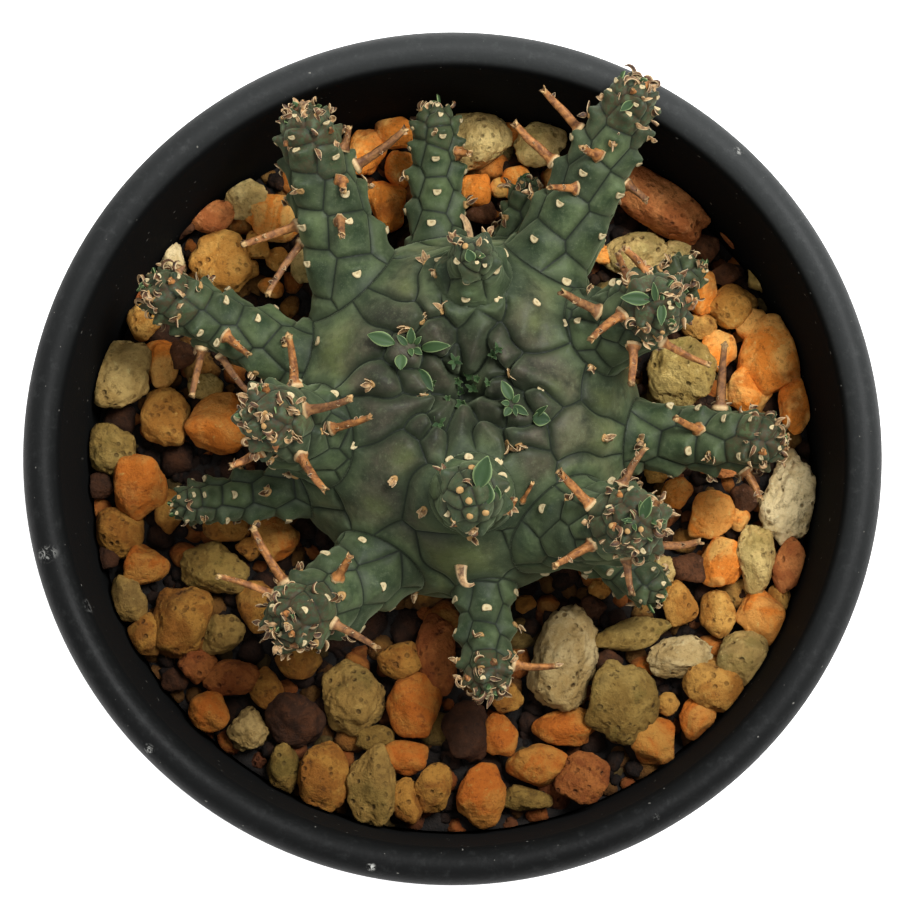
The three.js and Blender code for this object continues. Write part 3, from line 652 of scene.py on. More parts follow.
def arm_seeds(arm):
    """All tubercles of an arm: where those that are seen leave room, a spiral of others."""
    seeds = seen_seeds(arm)
    middles = np.array([seed.middle for seed in seeds])
    pitch_root = 2.6 + 0.62 * arm.radii[0]
    pitch_tip = 0.8 * arm.radii[1]
    along, count = arm.start - pitch_root * 0.8, 0
    full = arm.length + arm.turn_length
    while along < full * 0.985:
        share = np.clip(along / arm.length, 0, 1)
        pitch = mixed(pitch_root, pitch_tip, share ** 1.3)
        if along > arm.length:
            pitch = mixed(pitch_tip, 0.42 * arm.radii[1], (along - arm.length) / arm.turn_length)
        angle = arm.phase + count * TUBERCLE_TURN + arm.wind * share
        angle += 13 * (RNG.random() - 0.5)
        shift = 0.22 * pitch * (RNG.random() - 0.5)
        point, out, forward = arm.surface(along + shift, angle)
        kind = "t" if RNG.random() > 0.62 else "w"
        room = np.linalg.norm(middles - point, axis=1).min() if len(middles) else 9
        if room > (2.3 if out[2] > 0.1 else 1.2):
            mark = point + forward * 0.16 * pitch
            seeds.append(Tubercle(point, forward, pitch, min(share, 1.0), mark, kind))
        along += pitch / COLUMN_COUNT
        count += 1
    return seeds

# ---- Skin of the plant -----------------------------------------------------------------------

SKIN_VOXEL = 0.17
# White scars and dry bracts on the body's own tubercles, in plan
BODY_SCARS = [(8.3, 15.0), (-13.5, 11.7), (9.2, 6.1), (4.7, 15.5), (-1.4, 19.8)]
BODY_BRACTS = [
    (-7.9, 6.8), (-2.9, 4.9), (5.7, 7.6), (5.7, 0.3), (-6.0, -2.8), (-3.1, -5.9), (15.2, 1.5),
    (6.7, 1.1), (-3.3, 13.4), (-4.3, 12.6), (-2.8, 19.9), (-0.9, 14.4), (-7.2, -13.6),
]
# Fresh yellow-green patches of the body: place in plan and breadth; the three about
# (1, -12) are also painted light on the body's south-facing foot
HALOS = [
    (-12.3, 11.3, 2.6), (-4.9, -1.3, 1.6), (10.7, 17.7, 2.2), (0.6, -10.6, 3.2), (15.4, 1.6, 1.7),
    (15.4, 5.4, 1.8), (19.9, 6.7, 2.4), (-16.1, -2.9, 3.0), (-8.1, -5.5, 1.5), (-6.1, 21.9, 2.0),
    (10.1, 6.0, 0.9), (-4.4, 16.7, 1.6), (2.7, 7.0, 1.0), (8.3, 13.0, 1.2), (3.2, -13.0, 3.5),
    (1.2, -11.8, 3.4), (-12.0, 8.2, 1.8),
]
# Arms with few dry bracts at the tip
BARE_TIPS = (
    "arm_north_bud", "arm_north_low", "arm_west_low", "crown_arm_north", "crown_arm_south",
    "arm_east_south_low", "arm_east_north_low",
)


def closed_tube(points, radii, sides):
    """Rings round a line of points, closed by a dome at the end."""
    axis = unit(points[-1] - points[0])
    across, over = frame_of(axis)
    turn = circle(sides)
    ring = np.cos(turn)[:, None] * over + np.sin(turn)[:, None] * across
    rings = [c + r * ring for c, r in zip(points, radii)]
    for rise in (0.3, 0.6, 0.9, 1.2, 1.4):
        rings.append(points[-1] + radii[-1] * (math.cos(rise) * ring + math.sin(rise) * axis))
    return capped(rings, points[0], points[-1] + radii[-1] * axis)


def rough_plant():
    """The body and arms as one even mesh in millimetres."""
    batch = Batch()
    centres = body_centre(PROFILE_LINE[:, 1])
    rings = [
        flat_ring(circle(72), radius, level, *centre)
        for (radius, level), centre in zip(PROFILE_LINE, centres)
    ]
    ends = [(*centres[place], PROFILE_LINE[place, 1]) for place in (0, -1)]
    batch.add(*capped(rings[1:-1], *ends))
    for arm in ARM_LIST:
        batch.add(*closed_tube(arm.nodes, arm.node_radii, 28))
    mesh = batch.mesh("rough_plant", scale=1.0)
    holder = link("rough_plant", mesh)
    remesh = holder.modifiers.new("remesh", "REMESH")
    remesh.mode = "VOXEL"
    remesh.voxel_size = SKIN_VOXEL
    made = holder.evaluated_get(bpy.context.evaluated_depsgraph_get()).to_mesh()
    points = np.empty(len(made.vertices) * 3, np.float32)
    made.vertices.foreach_get("co", points)
    quads = np.empty(len(made.loops), np.int32)
    made.loops.foreach_get("vertex_index", quads)
    holder.to_mesh_clear()
    bpy.data.objects.remove(holder)
    bpy.data.meshes.remove(mesh)
    return points.reshape(-1, 3).astype(float), quads.reshape(-1, 4)


PART_SIZE = 20000  # vertices that are measured against the seeds at a time
NEAREST = 7


def border_distance(p, ends):
    """(own seed, distance to the border with the nearest other cell, own ridge's distance)."""
    own = np.empty(len(p), int)
    reach, ridge = np.empty(len(p)), np.empty(len(p))
    a, lines = ends[:, 0], ends[:, 1] - ends[:, 0]
    squares = np.maximum((lines**2).sum(1), 1e-9)
    count = min(NEAREST, len(ends))
    for start in range(0, len(p), PART_SIZE):
        here = slice(start, start + PART_SIZE)
        part = p[here]
        flat = part @ lines.T - (a * lines).sum(1)
        t = np.clip(flat / squares, 0, 1)
        d2 = (part**2).sum(1)[:, None] + (a**2).sum(1) - 2 * part @ a.T
        d2 += t * (t * squares - 2 * flat)
        near = np.argpartition(d2, count - 1, axis=1)[:, :count]
        rows = np.arange(len(part))[:, None]
        d2, t = d2[rows, near], t[rows, near]
        foot = a[near] + t[..., None] * lines[near]
        first = d2.argmin(1)[:, None]
        apart = np.linalg.norm(foot - foot[rows, first], axis=2)
        gap = (d2 - d2[rows, first]) / (2 * np.maximum(apart, 0.4))
        gap[rows, first] = 1e6
        own[here] = near[rows, first][:, 0]
        reach[here] = gap.min(1)
        ridge[here] = np.sqrt(np.maximum(d2[rows, first][:, 0], 0))
    return own, reach, ridge


def fit_borders(points, quads, group, reach):
    """Slides a vertex of each edge that crosses a border on to that border."""
    sides = np.concatenate([quads[:, [i, (i + 1) % 4]] for i in range(4)])
    sides = np.unique(np.sort(sides, axis=1), axis=0)
    cross = sides[group[sides[:, 0]] != group[sides[:, 1]]]
    nearer = reach[cross[:, 0]] <= reach[cross[:, 1]]
    moved = np.where(nearer, cross[:, 0], cross[:, 1])
    still = np.where(nearer, cross[:, 1], cross[:, 0])
    share = reach[moved] / np.maximum(reach[moved] + reach[still], 1e-6)
    step = (points[still] - points[moved]) * share[:, None]
    times = np.bincount(moved, minlength=len(points))
    for axis in range(3):
        total = np.bincount(moved, step[:, axis], len(points))
        points[:, axis] += total / np.maximum(times, 1)
    reach[times > 0] = 0


def vertex_normals(points, quads):
    diagonal = points[quads[:, 2]] - points[quads[:, 0]]
    other = points[quads[:, 3]] - points[quads[:, 1]]
    face = np.cross(diagonal, other)
    total = np.zeros_like(points)
    for corner in range(4):
        for axis in range(3):
            total[:, axis] += np.bincount(quads[:, corner], face[:, axis], len(points))
    return unit(total)


GROOVE_WIDTH, CROWN_GROOVE, SKIN_GROOVE = 0.24, 0.3, 0.16
SUNK = 0.2  # the skin between the domes lies this deep under the solids' faces
BODY_DOME, ARM_DOME = 0.3, 0.2
# How far the peak of a tubercle stands out, by what it carries
PEAK_SHARE = {"w": 1.0, "t": 1.0, "n": 0.7, "s": 0.8, "-": 0.25}


class Skin:
    """The plant's skin in the making: most arrays hold one value for each vertex."""

    def __init__(self):
        points, self.quads = rough_plant()
        self.points, self.normal = on_field(points)
        _, self.holder, self.gap = plant_field(self.points)
        self.find_cells()
        keys = ("shade", "halo", "fold", "tip")
        self.values = {key: np.zeros(len(self.points)) for key in keys}
        self.push = np.zeros_like(self.points)
        self.cut_grooves()
        self.shape_body()
        self.shape_arms()
        self.points += self.normal * self.lift[:, None] + self.push
        arm = np.where(self.holder > 0, 1.0, 1 - ease(self.gap, 0.2, 2.9))
        faint = 0.16 * bell(0.7 * self.gap, 0.4) * (1 - ease(self.crown_near, 0.6, 2.0))
        tone = RNG.random(self.cell_count)[self.cell]
        self.values.update(border=self.reach + faint, tone=tone, arm=arm)

    def find_cells(self):
        """Gives each vertex the nearest cell of its own arm or of the body."""
        body_ends, self.folds = body_seeds()
        self.rows = [(k, seed) for k, arm in enumerate(ARM_LIST, 1) for seed in arm_seeds(arm)]
        self.blank = len(body_ends)
        arm_ends = [(seed.middle, seed.middle) for _, seed in self.rows]
        ends = np.concatenate([body_ends, arm_ends])
        seed_owner = np.concatenate([np.zeros(self.blank, int), [k for k, _ in self.rows]])
        size = len(self.points)
        self.cell_count = len(ends)
        self.cell, self.reach, self.ridge = np.empty(size, int), np.empty(size), np.empty(size)
        for index in range(len(ARM_LIST) + 1):
            mine = np.nonzero(self.holder == index)[0]
            own = np.nonzero(seed_owner == index)[0]
            inner, self.reach[mine], self.ridge[mine] = border_distance(
                self.points[mine], ends[own]
            )
            self.cell[mine] = own[inner]
        self.reach = np.minimum(self.reach, 0.7 * self.gap)
        fit_borders(self.points, self.quads, self.cell, self.reach)
        self.owner = seed_owner[self.cell]

    def cut_grooves(self):
        """Sinks the skin along the borders, but less where a crown arm grows out."""
        self.crown_near = np.full(len(self.points), 9.0)
        for arm in ARM_LIST:
            if arm.name.startswith("crown"):
                near = np.abs(arm.distance(self.points))
                self.crown_near = np.minimum(self.crown_near, near)
        soft = mixed(0.45, 0.8, ease(self.crown_near, 0.5, 2.5)) * bell(0.7 * self.gap, 0.5)
        kept = 1 - soft * (1 - ease(self.crown_near, 2.5, 4)) - 0.4 * soft
        self.middle = np.linalg.norm(self.points[:, :2] - GROWTH_POINT, axis=1)
        depth = mixed(CROWN_GROOVE, SKIN_GROOVE, ease(self.middle, 6, 15))
        self.lift = -SUNK - depth * (bell(self.reach, GROOVE_WIDTH) * kept)

    def shape_body(self):
        """Domes, ridges and folds of the body's tubercles, its fresh patches, partly painted light, and
        painted shade about its scars.
        """
        mine = np.nonzero(self.owner == 0)[0]
        here, away = self.points[mine], self.middle[mine]
        reach, ridge, gap = self.reach[mine], self.ridge[mine], self.gap[mine]
        rim = mixed(0.55, 1.2, ease(away, 5, 13))
        dome = np.sin(math.pi / 2 * np.clip(reach / rim, 0, 1))
        height = BODY_DOME * mixed(0.6, 1.0, ease(away, 5, 13)) * dome
        swell = bell(ridge, mixed(0.95, 2.0, ease(away, 4, 14)))
        height += mixed(1.5, 0.3, ease(away, 4, 14)) * (swell - 0.35) * ease(gap, 0.0, 2.4)
        for x, y in BODY_SCARS + BODY_BRACTS:
            near = np.linalg.norm(here - on_body(x, y), axis=1)
            height += 0.5 * bell(near, 1.3) * dome
            # Painted shade: a darker patch about each scar and bract of the body.
            self.values["shade"][mine] += 0.5 * bell(near, 0.9)
        height += 0.35 * (noise(here * 0.45, 8) - 0.5) * dome
        self.lift[mine] += height - 1.6 * bell(away, 1.9)
        self.values["fold"][mine] = self.folds[self.cell[mine]] * bell(ridge, 1.3)
        for x, y, size in HALOS:
            near = np.linalg.norm(self.points - on_body(x, y), axis=1)
            self.values["halo"] += bell(near, size)

    def shape_arms(self):
        """Domes and peaks of the arms' tubercles, and the list of their scars."""
        mine = np.nonzero(self.owner > 0)[0]
        here, row = self.points[mine], self.cell[mine] - self.blank
        forward, pitch, share, scar = (
            np.array([getattr(seed, key) for _, seed in self.rows])
            for key in ("forward", "pitch", "share", "scar")
        )
        strength = np.array([PEAK_SHARE[seed.kind] for _, seed in self.rows])
        names = [ARM_LIST[k - 1].name for k, _ in self.rows]
        measured = np.array([name in SEEN_TUBERCLES for name in names])
        bare = np.array([name in BARE_TIPS for name in names])
        size, along = pitch[row], share[row]
        dome = np.sin(math.pi / 2 * np.clip(self.reach[mine] / (0.4 * size), 0, 1))
        away = np.linalg.norm(here - scar[row], axis=1)
        peak = bell(away, 0.25 * size) * dome * strength[row]
        height = mixed(0.55, 1.1, along**1.5) * np.clip(size / 3.2, 0.45, 1)
        self.lift[mine] += ARM_DOME * np.clip(size / 4, 0.5, 1.1) * dome + height * peak
        self.push[mine] = forward[row] * (0.45 * height * peak)[:, None]
        self.values["tip"][mine] = ease(along, 0.75, 1.0) * np.where(bare, 0.35, 1.0)[row]
        # Painted shade: a darker patch next to each scar, where its raised peak shades the tubercle.
        shade_spot = scar + forward * (np.where(measured, 0.12, -0.2) * pitch)[:, None]
        near = np.linalg.norm(here - shade_spot[row], axis=1)
        self.values["shade"][mine] = bell(near, 0.3 * size) * np.maximum(strength[row], 0.3)
        buried = plant_field(scar)[0] < -0.4
        self.scars = [row for row, hidden in zip(self.rows, buried) if not hidden]


def boundary_groups(faces):
    """Open edges of a set of quads, grouped by the loops that they form."""
    edges = np.concatenate([np.stack([faces[:, i], faces[:, (i + 1) % 4]], -1) for i in range(4)])
    keys = np.sort(edges, axis=1)
    _, back, counts = np.unique(keys, axis=0, return_inverse=True, return_counts=True)
    open_edges = edges[counts[back.ravel()] == 1]
    parent = {}

    def find(a):
        while parent.setdefault(a, a) != a:
            parent[a] = parent[parent[a]]
            a = parent[a]
        return a

    for a, b in open_edges.tolist():
        parent[find(a)] = find(b)
    groups = {}
    for a, b in open_edges.tolist():
        groups.setdefault(find(a), []).append((a, b))
    return [np.array(g) for g in groups.values()]


def closed_part(points, faces, values, roots, depth):
    """A part of the skin, each opening closed by a cone down to a root or just under it."""
    used, back = np.unique(faces, return_inverse=True)
    faces = back.reshape(-1, 4)
    points = points[used]
    inward = np.array([*BODY_CROWN_CENTRE, 66.0])
    extra, caps = [], []
    for group in boundary_groups(faces):
        middle = points[np.unique(group)].mean(0)
        index = len(points) + len(extra)
        apart = np.linalg.norm(roots - middle, axis=1)
        if len(group) > 60 and apart.min() < 9:
            middle = roots[apart.argmin()]
        extra.append(middle + unit(inward - middle) * depth)
        caps.append(np.column_stack([group[:, 1], group[:, 0], np.full(len(group), index)]))
    points = np.vstack([points, extra])
    blank = np.zeros(len(extra))
    values = {key: np.concatenate([data[used], blank]) for key, data in values.items()}
    return points, [faces, np.concatenate(caps)], values

# ---- Materials -------------------------------------------------------------------------------


def skin_material():
    """Waxy skin: brown-grey about the crown, green on the arms, dark in the grooves, partly the
    sutures' own dark and partly painted shade; painted shade also lies beside the scars.
    """
    p = Paint("euphorbia_skin")
    border, tone, arm, crown = p.attributes("border", "tone", "arm", "crown")
    shade_spot, halo, fold, tip = p.attributes("shade", "halo", "fold", "tip")
    broad, soft = p.noise(230, 4, 0.62), p.noise(420, 3, 0.6)
    fine, speck = p.noise(1700, 4, 0.65), p.noise(6500, 2, 0.5)
    patch = p.ramp(broad, 0.38, 0.62)
    outer = p.blend(patch, (45, 52, 33), (102, 107, 72))
    inner = p.blend(patch, (34, 32, 25), (80, 72, 60))
    inner = p.blend(p.ramp(soft, 0.48, 0.7, 0.0, 0.5), inner, (46, 58, 34))
    shifted = p.plus(crown, p.times(p.minus(broad, 0.5), 9.0))
    p.color = p.blend(p.ramp(shifted, 9.0, 19.5), inner, outer)
    # Pale folds along the ridges: partly their own paler colour, partly painted highlight.
    p.coat(p.times(fold, 0.16), (100, 98, 80))
    # Fresh yellow-green patches; on the south-facing foot they are partly painted light.
    fresh = p.times(halo, p.ramp(soft, 0.3, 0.6, 0.4, 0.8), clamp=True)
    p.coat(p.times(fresh, 0.75), (106, 116, 64))
    green = p.blend(p.ramp(broad, 0.35, 0.65), (43, 57, 35), (94, 109, 70))
    green = p.blend(p.times(tone, 0.3), green, (52, 70, 44))
    p.coat(arm, green)
    # Painted shade about the scars.
    p.coat(p.times(shade_spot, p.ramp(soft, 0.3, 0.7, 0.5, 0.95), clamp=True), (34, 52, 32))
    p.coat(p.ramp(tone, 0.1, 0.9, 0.0, 0.38, smooth=False), (34, 40, 27))
    p.coat(p.ramp(fine, 0.5, 0.75, 0.0, 0.22), (122, 132, 100))
    p.coat(p.ramp(fine, 0.5, 0.3, 0.0, 0.35), (38, 46, 30))
    p.coat(p.ramp(speck, 0.58, 0.74, 0.0, 0.16), (140, 148, 118))
    bloom = p.times(p.ramp(border, 0.2, 1.3, 0.3, 0.0), p.ramp(soft, 0.4, 0.7))
    p.coat(bloom, (112, 124, 94))
    # Sutures: a soft dark edge, partly their own colour and partly painted shade in the groove.
    p.coat(p.ramp(border, 0.08, 0.45, 0.45, 0.0), (34, 46, 28))
    # Painted shade in the valleys beside the sutures, strongest towards the crown.
    valley_shade_weight = p.blend_value(arm, p.ramp(crown, 19.0, 6.0, 0.35, 1.0), 0.5)
    p.coat(p.times(p.ramp(border, 0.1, 1.3, 0.86, 0.0), valley_shade_weight), (26, 34, 22))
    p.coat(p.ramp(border, 0.04, 0.16, 0.88, 0.0), (16, 24, 14))
    p.coat(p.times(tip, p.ramp(fine, 0.42, 0.58, 0.0, 0.75)), (62, 44, 26))
    rough = p.ramp(fine, 0.3, 0.7, 0.5, 0.66)
    grain = p.plus(fine, p.times(speck, 0.35))
    return p.done(
        rough, grain, 0.42, 0.0001, specular=0.22,
        sheen=0.24, sheen_rough=0.5, sheen_tint=(0.62, 0.75, 0.44, 1),
    )


def scar_material():
    p = Paint("leaf_scar")
    rim, tone = p.attributes("rim", "tone")
    grain = p.noise(2600, 3, 0.6)
    p.color = p.blend(grain, (170, 150, 104), (222, 207, 166))
    p.coat(p.ramp(tone, 0.62, 0.8), p.blend(grain, (146, 106, 58), (206, 168, 110)))
    p.coat(p.ramp(rim, 0.5, 0.1, 0.0, 0.5), (140, 104, 60))
    p.coat(p.ramp(rim, 0.96, 1.1, 0.0, 0.7), (110, 86, 50))
    return p.done(0.7, grain, 0.5, 0.00006, specular=0.3)


def stalk_material():
    p = Paint("dried_stalk")
    along, tone = p.attributes("along", "tone")
    streak = p.noise(1400, 4, 0.65, 0.6)
    shaft = p.ramp(streak, 0.29, 0.71)
    p.color = p.blend(shaft, (92, 52, 26), (184, 124, 66))
    p.coat(p.ramp(tone, 0.65, 0.9), p.blend(shaft, (84, 52, 32), (152, 106, 62)))
    p.coat(p.ramp(along, 0.08, 0.03), p.blend(streak, (170, 128, 76), (232, 206, 158)))
    p.coat(p.ramp(along, 0.86, 0.97), p.blend(shaft, (84, 54, 30), (214, 176, 118)))
    return p.done(0.62, streak, 0.6, 0.0001, specular=0.35)


def bract_material():
    p = Paint("dry_bract")
    tone, edge = p.attributes("tone", "edge")
    grain = p.noise(1900, 4, 0.6)
    patch = p.ramp(grain, 0.32, 0.68)
    p.color = p.blend(patch, (92, 64, 40), (190, 152, 104))
    p.coat(p.ramp(tone, 0.35, 0.6), p.blend(patch, (44, 28, 17), (112, 74, 40)))
    p.coat(p.ramp(edge, 0.6, 1.0, 0.0, 0.85), (208, 182, 138))
    return p.done(0.68, grain, 0.5, 0.00008)


def leaf_material():
    p = Paint("young_leaf")
    tone, edge = p.attributes("tone", "edge")
    grain = p.noise(900, 3, 0.6)
    p.color = p.blend(grain, (24, 42, 25), (54, 78, 46))
    p.coat(p.times(tone, 0.5), (74, 100, 58))
    p.coat(p.ramp(edge, 0.72, 1.0, 0.0, 0.8), (140, 160, 106))
    return p.done(0.55, grain, 0.3, 0.00008, specular=0.25)


# Scuffs and chalky specks of the pot: place, breadth and strength
SCUFFS = [
    (-42.0, -10.6, 75.0, 0.9, 1.0), (-38.9, -16.4, 74.0, 1.0, 0.9), (-38.2, -18.6, 74.0, 0.7, 0.8),
    (-38.3, 17.7, 74.0, 0.35, 1.0), (-8.4, -43.1, 75.5, 0.4, 1.0), (-31.5, -31.0, 75.5, 0.5, 0.5),
    (30.0, 31.8, 75.5, 0.5, 0.5), (43.0, 8.0, 75.0, 0.4, 0.6), (21.0, -38.0, 75.6, 0.4, 0.5),
]


def lean(p, share_x, share_y):
    """How far a place lies towards the far right of the photograph, in metres."""
    return p.plus(p.times(p.part("X"), share_x), p.times(p.part("Y"), share_y))


def plastic_material():
    """Painted shade makes it black inside the mouth; satin charcoal outside, with painted light that
    brightens it towards the far right.
    """
    p = Paint("nursery_plastic")
    broad, grain = p.noise(60, 3, 0.5), p.noise(2400, 3, 0.6)
    plan = p.put("CombineXYZ", {0: p.part("X"), 1: p.part("Y")}).outputs[0]
    radial = p.put("VectorMath", {0: plan}, operation="LENGTH").outputs["Value"]
    slant = p.minus(radial, p.times(p.part("Z"), WALL_TAPER))
    mouth = MOUTH_RADIUS - WALL_TAPER * (POT_HEIGHT - LIP_DROP)
    outside = p.ramp(slant, (mouth + 0.05) * MM, (mouth + 0.5) * MM)
    # Painted light: the plastic grows lighter towards the far right.
    across = p.ramp(lean(p, 0.35, 0.94), -0.042, 0.042, smooth=False)
    painted_light = p.times(across, across)
    p.color = p.blend(broad, (10, 11, 11), (16, 17, 17))
    p.coat(painted_light, (52, 54, 54))
    # Painted shade: the plastic inside the mouth is darker than outside.
    p.color = p.blend(outside, (6, 7, 7), p.color)
    # Real wear, shown fainter where the painted light is weaker.
    wear = p.times(p.ramp(p.noise(700, 7, 0.8), 0.5, 0.75, 0.0, 0.34), outside)
    p.coat(p.times(wear, p.ramp(painted_light, 0, 1, 0.4, 1.0, smooth=False)), (88, 90, 89))
    p.coat(p.ramp(p.noise(1500, 2, 0.4), 0.75, 0.775, 0.0, 0.5), (150, 148, 140))
    streak = p.ramp(p.noise(1300, 5, 0.75, 1.5), 0.5, 0.58)
    for x, y, z, size, strength in SCUFFS:
        inputs = {0: p.place, 1: (x * MM, y * MM, z * MM)}
        away = p.put("VectorMath", inputs, operation="DISTANCE").outputs["Value"]
        mask = p.ramp(away, size * 1.6 * MM, size * 0.3 * MM, 0.0, strength)
        p.coat(p.times(mask, streak, clamp=True), (206, 206, 200))
    rough = p.blend_value(outside, 0.95, p.ramp(broad, 0.3, 0.7, 0.5, 0.62))
    return p.done(rough, grain, 0.4, 0.0001, specular=0.12)


def stone_material(name, light, mid, dark, pits=0.0, coarse=1.0, green=0.0):
    """Dry grit: patches of three tones, fine grain, pores, moss, darker towards the near left, and
    painted shade low down between the stones.
    """
    p = Paint("stone_" + name)
    light, dark = srgb(*light), srgb(*dark)
    [tone] = p.attributes("tone")
    grain, grit, stain = p.noise(2600, 4, 0.7), p.noise(1100, 4, 0.7), p.noise(170, 4, 0.65)
    p.color = p.blend(p.ramp(p.noise(320 * coarse, 5, 0.65, 0.6), 0.42, 0.6), mid, light)
    p.coat(p.ramp(tone, 0, 1, 0.0, 0.5, smooth=False), mid)
    p.coat(p.ramp(stain, 0.52, 0.72, 0.0, 0.7), dark)
    p.coat(p.ramp(grit, 0.45, 0.3, 0.0, 0.65), dark)
    pale = tuple(min(1.0, c * 1.25 + 0.06) for c in light[:3]) + (1.0,)
    p.coat(p.ramp(grit, 0.58, 0.74, 0.0, 0.55), pale)
    p.coat(p.ramp(grain, 0.5, 0.35, 0.0, 0.3), dark)
    if green:
        p.coat(p.ramp(p.noise(240, 4, 0.6), 0.5, 0.66, 0.0, green), (104, 106, 40))
    height = p.plus(grain, p.times(grit, 1.6))
    if pits:
        cells = p.put("TexVoronoi", {"Vector": p.place, "Scale": 1000.0}).outputs["Distance"]
        where = p.ramp(p.noise(420, 2), 0.42, 0.58)
        pore = p.times(p.ramp(cells, 0.14, 0.34, 1.0, 0.0), where)
        p.coat(p.times(pore, pits), dark)
        height = p.minus(height, p.times(pore, 1.4))
    # Darker towards the near left.
    along = p.plus(lean(p, 0.38, 0.93), p.times(p.minus(stain, 0.5), 0.03))
    p.coat(p.ramp(along, -0.026, 0.02, 1.0, 0.0), (0.35, 0.29, 0.185, 1.0), "MULTIPLY")
    # Painted shade: the stones grow dark low down, in the gaps between them.
    low, high = (BED_LEVEL - 0.9) * MM, (BED_LEVEL + 1.0) * MM
    p.coat(p.ramp(p.part("Z"), low, high, 0.8, 0.0), tuple(0.28 * c for c in dark[:3]) + (1.0,))
    return p.done(0.85, height, 1.0, 0.0002, specular=0.25)


def soil_material():
    p = Paint("fine_mix")
    patch, grain = p.noise(420, 5, 0.7), p.noise(1800, 4, 0.7)
    # Near-black brown: partly the mix's own dark colour, partly painted shade in the gaps between the
    # stones.
    p.color = p.blend(p.ramp(patch, 0.35, 0.7), (9, 6, 4), (28, 18, 10))
    p.coat(p.ramp(grain, 0.6, 0.75, 0.0, 0.3), (66, 44, 24))
    return p.done(0.95, p.plus(patch, grain), 0.9, 0.0004)

# ---- Small forms: scars, stalks, blades --------------------------------------------------------


def icosphere(level):
    ball = bmesh.new()
    bmesh.ops.create_icosphere(ball, subdivisions=level, radius=1.0)
    points = np.array([v.co[:] for v in ball.verts])
    faces = np.array([[v.index for v in f.verts] for f in ball.faces])
    ball.free()
    return unit(points), faces


BALLS = {level: icosphere(level) for level in (2, 3, 4, 5)}


def scar_form(point, out, forward, size):
    """A D-shaped raised disc, flat on its upper side."""
    side = unit(np.cross(forward, out))
    up = unit(np.cross(out, side))
    if up @ forward < 0:
        up = -up
    turn = circle(16)
    x, y = np.cos(turn), np.minimum(np.sin(turn), 0.42)
    wobble = 1 + 0.07 * np.sin(3 * turn + RNG.random() * 6)
    rings, marks = [], []
    for scale, height in ((1.12, -0.16), (1.08, 0.04), (0.94, 0.14), (0.6, 0.1), (0.3, 0.06)):
        across = (size * 0.5 * scale * x * wobble)[:, None] * side
        rise = (size * 0.52 * scale * y * wobble)[:, None] * up
        rings.append(point + across + rise + height * size * out)
        marks.append(np.full(len(turn), scale))
    points, faces = capped(rings, point - 0.2 * size * out, point + 0.05 * size * out)
    return points, faces, np.concatenate(marks + [[1.1, 0.0]])


def bent(t, start, middle, end):
    """Points of the curve from start to end that leans towards the middle."""
    t = t[:, None]
    return (1 - t) ** 2 * start + 2 * t * (1 - t) * middle + t**2 * end


def stalk_form(base, out, reach, thickness, seed):
    """A dried stalk: swollen ring at its foot, wrinkled shaft, ragged cup at its end."""
    turn = circle(12)
    length = float(np.linalg.norm(reach))
    t = np.linspace(0, 1, max(8, int(length / 0.28)))
    middle = base + reach * 0.5 + out * 0.12 * length - UP * 0.05 * length
    centre = bent(t, base, middle, base + reach)
    sway = noise(centre * 0.9 + seed, 3)[:, None] - 0.5
    centre = centre + 0.05 * length * sway * np.cross(unit(reach), out)
    radius = thickness * mixed(0.95, 0.6, t)
    radius = radius * (1 + 0.85 * bell(t * length - 0.12, 0.3))
    radius[-1] *= 1.35
    tangent = unit(np.gradient(centre, axis=0))
    side = unit(np.cross(tangent, out + 0.01))
    up = np.cross(side, tangent)
    rings = []
    for k, share in enumerate(t):
        ridge = 1 + 0.16 * np.sin(turn * 3 + seed + share * 3) + 0.1 * np.sin(turn * 5 + seed * 2)
        across, rise = (ridge * np.cos(turn))[:, None], (ridge * np.sin(turn))[:, None]
        rings.append(centre[k] + radius[k] * (across * side[k] + rise * up[k]))
    ragged = 0.3 * np.sin(turn * 2 + seed) + 0.25 * np.sin(turn * 3 + 2 * seed)
    rings[-1] = rings[-1] + (thickness * ragged)[:, None] * tangent[-1]
    deep = centre[-1] - tangent[-1] * thickness * 1.1
    rings.append(mixed(rings[-1], deep, 0.45))
    points, faces = capped(rings, base - out * 0.3, deep)
    sides = len(turn)
    along = np.concatenate([np.repeat(t, sides), np.full(sides, 0.9), [0, 0.9]])
    return points, faces, along


